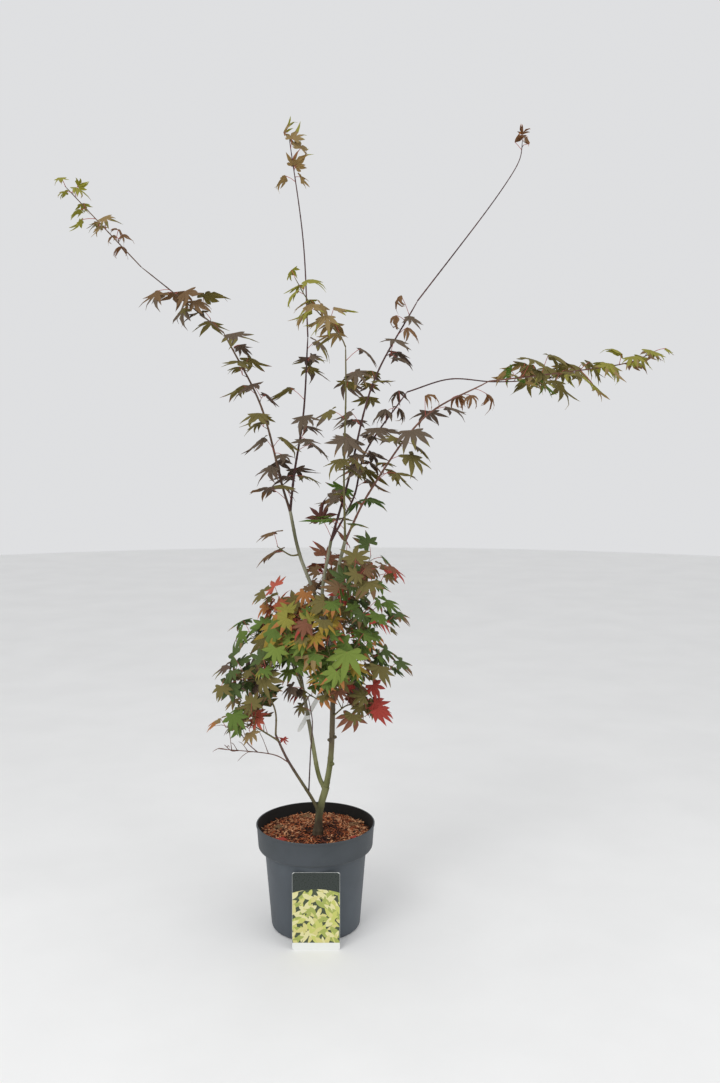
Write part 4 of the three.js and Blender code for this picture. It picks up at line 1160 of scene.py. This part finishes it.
def grow_spurs(mass, index, habit):
    """Spurs along the stem and the side twigs of a mass"""
    box = [np.array(corner) * 1000 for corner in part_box(mass["name"])]
    first, last = habit["leafed"] or mass["leafed"]
    spacing = mass["spacing"] * habit["spacing"] / mass["full"]
    for twig_index, twig in enumerate([mass["stem"], *mass["side"]]):
        count = max(1, round(path_length(twig["route"]) * (last - first) / spacing))
        for k in range(count):
            draw = seeded_random(SPUR_SEED + (index * 10 + twig_index) * 40 + k)
            share = mix(first, last, (k + 0.5) / count)
            point, heading = along_path(twig["route"], share)
            out = around_heading(heading, (k + 0.5) * GOLDEN_ANGLE + draw())
            aim = unit(heading * math.cos(SPUR_ANGLE) + out * math.sin(SPUR_ANGLE) + UP * SPUR_RISE)
            length = mix(*habit["length"], draw())
            tip = point + aim * length
            if min(skin_distance(tip, mass["others"]), skin_distance(tip, limb_lines)) < SPUR_CLEARANCE:
                continue
            middle = mix(point, tip, 0.55) + UP * length * habit["arch"]
            spur = {"route": np.array([point, middle, tip]), "radius": SPUR_RADIUS, "parent": twig}
            size = mass["leaf"] * habit["size"] * (1 - mass["shrink"] * share * share)
            pair = [spur_leaf(mass, spur, size, hand, draw, box) for hand in (0, 1) if size]
            pair = [leaf for leaf in pair if leaf]
            if pair or not size:
                mass["spurs"].append(spur)
            for leaf in pair:
                keep_leaf(mass, leaf, spur, share)


for index, mass in enumerate(masses):
    mass["spurs"] = []
    full_spray = mass["twigs"] and mass["leaf"] > SPURRED_FROM
    if not mass["leaf"]:
        grow_spurs(mass, index, SPURS["bare"])
    elif mass["way"] != "spread" or full_spray:
        grow_spurs(mass, index, SPURS[mass["way"]])
print(sum(len(mass["spurs"]) for mass in masses), "spurs,", len(all_leaves), "leaves in all")

# %% [markdown]
# Low down the main stem shows bare, as if leaves had been picked off there. Those that would hang in
# front of it below the crown are left out.

# %% Leaves off the main stem
BARE_STEM_AT, BARE_STEM_SIDE, BARE_STEM_TOP = 45, 26, 610


def hangs_over_stem(leaf):
    """True for a leaf whose middle hangs in front of the bare part of the main stem"""
    x, y, z = leaf["base"] + leaf["along"] * leaf["length"] / 2
    return abs(x - BARE_STEM_AT) < BARE_STEM_SIDE and y < 0 and z < BARE_STEM_TOP


for mass in masses:
    kept_leaves = [leaf for leaf in mass["leaves"] if not hangs_over_stem(leaf)]
    if len(kept_leaves) < len(mass["leaves"]):
        print(len(mass["leaves"]) - len(kept_leaves), "leaves off the stem in", mass["name"])
    mass["leaves"] = kept_leaves

# %% [markdown]
# Two leaves stand out from the rule. A dark red one has folded up on a long stalk above the fork of
# the middle leader, and a crimson scrap hangs below the low left spray. Both are placed one by one.

# %% Odd leaves
# Root and base of the blade, heading, length and tint
ODD_LEAVES = {
    "tall_whip_lower": ((42, 10, 996), (19, -6, 1046), (-0.15, 0, 1), 58, "maroon"),
    "low_left_spray": ((-96, -52, 512), (-78, -44, 500), (0.3, -0.2, -1), 22, "crimson"),
}
TO_FRONT, ODD_CURL = np.array((0.1, -1.0, 0.1)), 0.45
for mass in (mass for mass in masses if mass["name"] in ODD_LEAVES):
    root, base, heading, length, tint = ODD_LEAVES[mass["name"]]
    along = unit(np.array(heading, float))
    across = unit(np.cross(TO_FRONT, along))
    mass["leaves"].append({
        "root": np.array(root, float), "base": np.array(base, float), "along": along,
        "across": across, "normal": np.cross(along, across), "length": length, "curl": ODD_CURL,
        "twig": mass["stem"], "share": 0, "tints": [tint, tint], "way": "hung"})
    print("odd leaf on", mass["name"])

# %% [markdown]
# ## Twigs and stalks
# Young maple wood is smooth and thin-skinned, olive low down and dark purple-red on the year's whips,
# with a swollen ring where each pair of leaves stood. A twig is a tapered tube on a smooth curve. Its
# foot is moved onto the drawn curve of its parent, and leaf stalks are moved onto their twig, so
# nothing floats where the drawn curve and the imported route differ.

# %% Drawn lines of the twigs
STEM_STEPS, TWIG_STEPS, SPUR_STEPS = 10, 5, 3


def nearest_on(line, point):
    """Point of a line that is nearest to a point"""
    feet = foot_points(point, line[:-1], np.diff(line, axis=0))
    return feet[np.linalg.norm(feet - point, axis=1).argmin()]


def draw_line(twig, parent, steps):
    """Smooth curve of a twig from its foot on the drawn curve of its parent"""
    foot = nearest_on(parent["line"], twig["route"][0])
    twig["line"] = smooth_path([foot, *twig["route"][1:]], steps)


for mass in masses:
    parent, stem, share = stems[mass["from"][0]], mass["stem"], mass["from"][1]
    foot = parent["line"][-1] if share == 1 else nearest_on(parent["line"], stem["route"][0])
    stem["line"] = smooth_path([foot, *mass["points"]], STEM_STEPS)
    stem["root_radius"] = limb_radius(parent, share)
    for twig in mass["side"]:
        draw_line(twig, stem, TWIG_STEPS)
    for spur in mass["spurs"]:
        draw_line(spur, spur["parent"], SPUR_STEPS)


# %% Radius of a twig
def twig_radius(twig, spacing, at_tip):
    """Taper with a swelling at each leaf pair, and a foot that meets its parent"""
    def radius_at(share, angle, length):
        plain = limb_radius(twig, share)
        node = abs((length + spacing / 2) % spacing - spacing / 2)
        swell = 0.16 * math.exp(-(node / 2.2) ** 2) if length > spacing / 2 else 0
        if at_tip:
            meeting = (twig["root_radius"] - plain) * math.exp(-length / 14)
        else:
            meeting = 0.5 * plain * math.exp(-length / 4)
        closing = 1 - 0.45 * math.exp(-(1 - share) * 30)
        return (plain * (1 + swell) + meeting) * closing
    return radius_at


def stalk_radius(share, angle, length):
    """Radius of a leaf stalk, thicker at both ends"""
    return 0.7 + 0.25 * math.exp(-share * 8) + 0.2 * math.exp(-(1 - share) * 8)


def add_stalk(bm, leaf, finish):
    """Thin arched stalk from the twig to the blade"""
    root = nearest_on(leaf["twig"]["line"], leaf["root"])
    reach = float(np.linalg.norm(leaf["base"] - root))
    middle = mix(root, leaf["base"], 0.5) + UP * reach * 0.05
    line = smooth_path([root, middle, leaf["base"] + leaf["along"] * 0.02 * leaf["length"]], 2)
    add_tube(bm, line, stalk_radius, 5, finish, 5)


# %% Twigs of each mass
TWIG_TONES = {
    "bark_maroon": ["#3c2524", "#482d2b", "#563732"], "bark_brown": ["#4c382c", "#5c4535", "#6b5340"],
    "bark_red_brown": ["#5c3d31", "#6d4a3c", "#7d584a"], "bark_olive": ["#55502f", "#66603a", "#6f5c3f"],
}
WHIP_BARKS = {
    "left_whip": "bark_brown", "centre_whip": "bark_maroon", "tall_whip": "bark_maroon",
    "inner_whip": "bark_maroon", "arching_shoot": "bark_maroon", "hooked_shoot": "bark_olive",
    "right_whip": "bark_red_brown", "bare_left": "bark_red_brown",
}
TWIG_SPACING, SPUR_SPACING = 38, 30
twig_barks = {name: mottled_finish(name, tones, 0.55, 9, (1, 1, 0.4), 300, 0.0002, 2)
              for name, tones in TWIG_TONES.items()}
leaf_stalk = plain_finish("leaf_stalk", "#a8544a", 0.5, 500, 0.0001, 0.2)
for mass in masses:
    bm = bmesh.new()
    stem, name = mass["stem"], mass["name"]
    sides = 10 if mass["radius"][0] > 2.5 else 8
    rings = int(path_length(stem["line"]) / (4 if mass["twigs"] > 0 else 5))
    radius_at = twig_radius(stem, mass["spacing"], mass["from"][1] == 1)
    add_tube(bm, stem["line"], radius_at, sides, 0, rings)
    for twig in mass["side"]:
        add_tube(bm, twig["line"], twig_radius(twig, TWIG_SPACING, False), 6, 0, 12)
    for spur in mass["spurs"]:
        add_tube(bm, spur["line"], twig_radius(spur, SPUR_SPACING, False), 5, 0, 5)
    for leaf in mass["leaves"]:
        add_stalk(bm, leaf, 1)
    bark = next((bark for start, bark in WHIP_BARKS.items() if name.startswith(start)), "bark_olive")
    new_piece("twigs_" + name, bm, [twig_barks[bark], leaf_stalk], [name])

# %% [markdown]
# ## Leaf blades
# A maple leaf is a fan of pointed lobes that are webbed together near the stalk. Three flat blades are
# made once: a broad one, a slim one and a lance-lobed one. Each lobe is a small grid, laid along its
# own heading. Where it is webbed, its edge runs exactly along the line halfway to the next lobe, so
# the edges of neighbours meet and are merged. Beyond that it swells, then narrows to a point. The
# blade's points are then read back as a lobe, a reach along it and a distance to its side, so that
# each leaf can bend, stretch and twist its own lobes beyond the web while the web stays whole.

# %% One blade
def make_blade(name, lobes, web, breadth):
    """Flat unit blade of lobes, each a heading in degrees and a share of the leaf length"""
    bm = bmesh.new()
    half_lobe = math.radians(lobes[1][0] - lobes[0][0]) / 2
    neck = web * math.tan(half_lobe)
    for heading, share in lobes:
        free = [0.3, 0.68, 1] if share > 0.5 else [0.5, 1]
        stations = [0, web, *(web + (share - web) * part for part in free)]
        widths = [0, neck, *(neck * breadth * (1 - part ** 1.3) for part in free)]
        sin, cos = math.sin(math.radians(heading)), math.cos(math.radians(heading))
        for vert in unit_grid(bm, 2, len(stations) - 1):
            row = round((vert.co.y + 0.5) * (len(stations) - 1))
            side, reach = 2 * vert.co.x * widths[row], stations[row]
            vert.co = (reach * sin + side * cos, reach * cos - side * sin, 0)
    bmesh.ops.remove_doubles(bm, verts=bm.verts[:], dist=1e-4)
    x, y = np.array([vert.co[:2] for vert in bm.verts]).T
    headings = np.radians([heading for heading, _ in lobes])
    lobe = np.abs(np.arctan2(x, y)[:, None] - headings).argmin(1)
    turn = headings[lobe]
    edge = [face.calc_center_median().xy.length for face in bm.faces]
    print(name, len(edge), "faces")
    return {"mesh": mesh_from(bm, name), "web": web, "lobe": lobe, "turn": turn, "edge": edge,
            "reach": x * np.sin(turn) + y * np.cos(turn), "side": x * np.cos(turn) - y * np.sin(turn),
            "count": len(lobes)}


BROAD_LOBES = [(-114, 0.44), (-76, 0.74), (-38, 0.94), (0, 1), (38, 0.94), (76, 0.74), (114, 0.44)]
SLIM_LOBES = [(-108, 0.4), (-72, 0.7), (-36, 0.92), (0, 1), (36, 0.92), (72, 0.7), (108, 0.4)]
LANCE_LOBES = [(-80, 0.66), (-40, 0.92), (0, 1), (40, 0.92), (80, 0.66)]
broad_blade = make_blade("broad_blade", BROAD_LOBES, 0.32, 1.32)
slim_blade = make_blade("slim_blade", SLIM_LOBES, 0.23, 1.45)
lance_blade = make_blade("lance_blade", LANCE_LOBES, 0.15, 1.35)

# %% [markdown]
# The lower sprays spread their blades to the light. On the long shoots the blades lie flatter and half
# folded, the youngest ones near the tips hang and hook, and a dry one rolls up. A lobe's bend is worked
# out as an arc, so a strong bend curls it round instead of stretching it.

# %% Ways to bend a blade
BLADE_WAYS = {
    "spread": {"blade": broad_blade, "curl": 0.8, "cup": 0.1, "fold": 0.4, "gather": (0.85, 1.05),
               "stretch": (0.84, 1), "sway": 0.5, "droop": (-0.15, 0.35), "twist": 0.9},
    "hung": {"blade": slim_blade, "curl": 0.8, "cup": 0.2, "fold": 0.5, "gather": (0.72, 1.05),
             "stretch": (0.65, 1), "sway": 0.7, "droop": (-0.4, 0.5), "twist": 1.8},
    "young": {"blade": slim_blade, "curl": 0.7, "cup": 0.3, "fold": 0.5, "gather": (0.65, 1),
              "stretch": (0.7, 1), "sway": 0.8, "droop": (-0.5, 0.9), "twist": 2.0},
    "dry": {"blade": lance_blade, "curl": 1.4, "cup": 0.6, "fold": 0.9, "gather": (0.5, 1.0),
            "stretch": (0.6, 1), "sway": 1.3, "droop": (0.2, 2.0), "twist": 3.2},
}
STRAIGHT = 1e-3


def arc(start, bend, length):
    """How far an arc runs on and how far it sinks, from its first slope, its bend and its length"""
    bend = np.where(np.abs(bend) < STRAIGHT, STRAIGHT, bend)
    end = start + bend * length
    return (np.sin(end) - np.sin(start)) / bend, (np.cos(start) - np.cos(end)) / bend


def bend_blade(way, curl, draw):
    """Points of a blade, across, along and up, in shares of its length"""
    blade = way["blade"]

    def per_lobe(low, high):
        return np.array([mix(low, high, draw()) for _ in range(blade["count"])])[blade["lobe"]]

    stretch, droop = per_lobe(*way["stretch"]), per_lobe(*way["droop"])
    sway, twist = per_lobe(-way["sway"], way["sway"]), per_lobe(-way["twist"], way["twist"])
    gather, bend = mix(*way["gather"], draw()), 2 * curl * way["curl"]
    free = np.maximum(blade["reach"] - blade["web"], 0)
    on, sink = arc(0, bend, np.minimum(blade["reach"], blade["web"]))
    free_on, free_sink = arc(bend * blade["web"], bend + 2 * droop, free * stretch)
    reach, turn = on + free_on, blade["turn"] * gather + sway * free
    side = blade["side"] * np.where(free > 0, 1, gather)
    flat_side = side * np.cos(twist * free)
    x = reach * np.sin(turn) + flat_side * np.cos(turn)
    y = reach * np.cos(turn) - flat_side * np.sin(turn)
    z = side * np.sin(twist * free) - sink - free_sink - way["fold"] * np.abs(side) - way["cup"] * x * x
    return np.stack([x, y, z], 1)


# %% [markdown]
# In autumn the tree turns spray by spray. Each leaf takes one colour for its middle and one for the
# tips of its lobes, from the few pairs listed for its mass: at random on a spray, and from foot to tip
# along a whip. How far the second colour has crept in differs from leaf to leaf. Undersides are greyer
# and paler, and Solidify gives them their own finishes.

# %% Tints
TINTS = {
    "dark_green": "#435726", "green": "#567227", "fresh_green": "#728a31", "olive": "#6b602e",
    "lime": "#8f8c33", "gold": "#9c7e24", "tan": "#92784a", "orange": "#b06c34", "flame": "#aa4f2e",
    "coral": "#cc5744", "crimson": "#a82e28", "bronze": "#6f5133", "red_brown": "#7f4832",
    "purple": "#58443a", "dusk": "#5f4f42", "dry": "#775233", "maroon": "#502523",
}
PALETTE = {
    "left_whip_lower": "dusk bronze, dusk purple, olive dusk, purple dusk, olive bronze, dusk olive",
    "left_whip_middle": "olive dusk, bronze dusk, dry dry",
    "left_whip_upper": "dry dry, dry tan, tan olive, lime tan, lime tan",
    "centre_whip_lower": "olive purple, dusk bronze, dusk purple, olive dusk, dusk olive",
    "centre_whip_upper": "dry bronze, dry tan, lime tan, tan lime",
    "tall_whip_lower": "green bronze, olive dusk, dusk bronze, olive purple, dusk purple, dry dusk",
    "tall_whip_upper": "tan dry, dry orange",
    "arching_shoot_lower": "olive bronze, dusk bronze, dusk purple, dusk dry",
    "arching_shoot_upper": "olive bronze, green tan, olive tan",
    "hooked_shoot_lower": "green bronze, olive dusk, dusk bronze, olive dusk, dusk tan",
    "hooked_shoot_tip": "tan olive, tan lime, lime tan, lime tan",
    "right_whip_lower": "dark_green olive, olive dusk, dusk olive, dry dry",
    "right_whip_upper": "olive bronze, olive lime, lime tan, lime bronze",
    "low_left_spray": "coral coral, olive bronze, tan orange, green tan, dark_green bronze",
    "low_left_top": "dark_green purple, purple olive, olive bronze, dark_green bronze",
    "inner_whip": "purple bronze, olive purple",
    "left_spray": "olive bronze, green bronze, green tan, dark_green red_brown",
    "left_front_spray": "lime orange, green gold, fresh_green orange, green tan",
    "left_top_spray": "coral orange, orange coral, flame coral, bronze coral, olive orange",
    "left_back_spray": "dark_green bronze, olive red_brown",
    "low_front_spray": "purple crimson, olive orange, green olive",
    "right_low_spray": "red_brown purple, olive bronze, crimson purple, olive red_brown",
    "right_spray": "dark_green bronze, olive red_brown, green orange, green crimson",
    "right_high_spray": "green red_brown, dark_green bronze, green crimson, olive bronze",
    "front_spray": "green orange, green gold, fresh_green orange, green tan, gold orange",
    "front_high_spray": "gold orange, bronze flame, green orange, olive gold, red_brown crimson",
    "back_low_spray": "dark_green bronze, olive bronze",
    "back_high_spray": "dark_green bronze, olive red_brown, bronze purple",
    "top_right_spray": "red_brown crimson, bronze crimson, olive bronze, dark_green bronze",
    "top_left_spray": "olive bronze, bronze purple",
    "top_back_spray": "red_brown crimson, bronze red_brown",
}
UNDER_GREY, UNDER_SHARE = (0.45, 0.43, 0.37), 0.26


def underside(colour):
    """The same colour, greyer and paler, as #rrggbb"""
    paler = (mix(a, b, UNDER_SHARE) for a, b in zip(shown(colour), UNDER_GREY))
    return "#" + "".join(f"{round(255 * level):02x}" for level in paler)


upper = {name: plain_finish("leaf_" + name, tone, 0.6, 260, 0.00025, 0.16)
         for name, tone in TINTS.items()}
lower = {name: plain_finish("under_" + name, underside(tone), 0.75, 260, 0.00025, 0.1)
         for name, tone in TINTS.items()}
print(len(upper) + len(lower), "leaf finishes")

# %% Lay a blade
BLADE_THICKNESS, BOX_MARGIN, DRAWN_IN, LEAST_SCALE = 0.4, 3, 0.94, 0.4
TURNED_FROM, TURNED_SPREAD, RIPPLE = (0.35, 1.15), 0.12, 0.07
box_low, box_high = (np.array(corner) * 1000 for corner in cad_box)
box_low[2] = 0


def fit_blade(leaf, reach, scale):
    """Places of a blade's points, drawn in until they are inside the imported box"""
    while scale > LEAST_SCALE:
        places = leaf["base"] + reach * scale
        if (places > box_low + BOX_MARGIN).all() and (places < box_high - BOX_MARGIN).all():
            break
        scale *= DRAWN_IN
    return places


def add_blade(bm, leaf, way, tints, seed, scale=1.0):
    """One blade, copied from the flat one, bent into place and coloured"""
    draw = seeded_random(seed)
    blade = way["blade"]
    points = bend_blade(way, leaf["curl"], draw)
    verts, faces = copy_in(bm, blade["mesh"])
    axes = np.stack([leaf["across"], leaf["along"], leaf["normal"]])
    places = fit_blade(leaf, points @ axes * leaf["length"], scale)
    for vert, (x, y, _), place in zip(verts, points, places):
        ripple = RIPPLE * math.hypot(x, y) * noise.noise(Vector((x * 2.1, y * 2.1, seed * 1.7)))
        vert.co = Vector(place + leaf["normal"] * ripple * leaf["length"]) * MM
    turned_from = mix(*TURNED_FROM, draw())
    for face, edge in zip(faces, blade["edge"]):
        turned = edge + mix(-TURNED_SPREAD, TURNED_SPREAD, draw()) > turned_from
        face.material_index = tints[1 if turned else 0]


def new_leaves(name, bm, tints, nodes=()):
    """Piece of blades, with a thickness and with undersides of their own"""
    finishes = [upper[tint] for tint in tints] + [lower[tint] for tint in tints]
    leaves = new_piece(name, bm, finishes, nodes)
    thicken(leaves, BLADE_THICKNESS * MM, 0, len(tints))


# %% Blades of each mass
BLADE_SEED, PLACE_SWAY = 50000, 0.4


def pick_pair(mass, leaf, pairs, draw):
    """Colours of a leaf: at random on a spray, and by its place along a whip"""
    if mass["way"] == "spread":
        return pairs[int(draw() * len(pairs))]
    place = int(leaf["share"] * len(pairs) + mix(-PLACE_SWAY, PLACE_SWAY, draw()))
    return pairs[min(max(place, 0), len(pairs) - 1)]


for index, mass in enumerate(masses):
    if not mass["leaves"]:
        continue
    pairs = [pair.split() for pair in PALETTE[mass["name"]].split(", ")]
    pairs_and_odd = pairs + [leaf["tints"] for leaf in mass["leaves"] if "tints" in leaf]
    names = sorted({name for pair in pairs_and_odd for name in pair})
    bm = bmesh.new()
    for k, leaf in enumerate(mass["leaves"]):
        seed = BLADE_SEED + index * 100 + k
        pair = leaf.get("tints") or pick_pair(mass, leaf, pairs, seeded_random(seed))
        way = BLADE_WAYS["dry" if "dry" in pair else leaf.get("way", mass["way"])]
        add_blade(bm, leaf, way, [names.index(name) for name in pair], seed, mass["scale"])
    new_leaves("leaves_" + mass["name"], bm, names, [mass["name"]])

# %% [markdown]
# A few leaves have dropped onto the bed of bark and lie there nearly flat.

# %% Fallen leaves
# Place, heading in degrees, length and tint
FALLEN = [((-88, -58), 300, 32, "crimson"), ((104, -46), 200, 26, "crimson"),
          ((-20, 90), 200, 30, "dry"), ((96, 40), 140, 32, "dry"), ((-100, 30), 330, 28, "bronze")]
FALLEN_TINTS, FALLEN_SEED, FALLEN_LIFT, FALLEN_CURL = ["crimson", "dry", "bronze"], 700, 7, 0.15
fallen_mesh = bmesh.new()
for k, ((x, y), heading, length, tint) in enumerate(FALLEN):
    turn = math.radians(heading)
    along = np.array((math.cos(turn), math.sin(turn), 0))
    dropped = {"base": np.array((x, y, bed_height(x, y) + FALLEN_LIFT)), "along": along,
               "across": np.cross(UP, along), "normal": UP, "length": length, "curl": FALLEN_CURL}
    tints = [FALLEN_TINTS.index(tint)] * 2
    add_blade(fallen_mesh, dropped, BLADE_WAYS["spread"], tints, FALLEN_SEED + k)
new_leaves("fallen_leaves", fallen_mesh, FALLEN_TINTS)
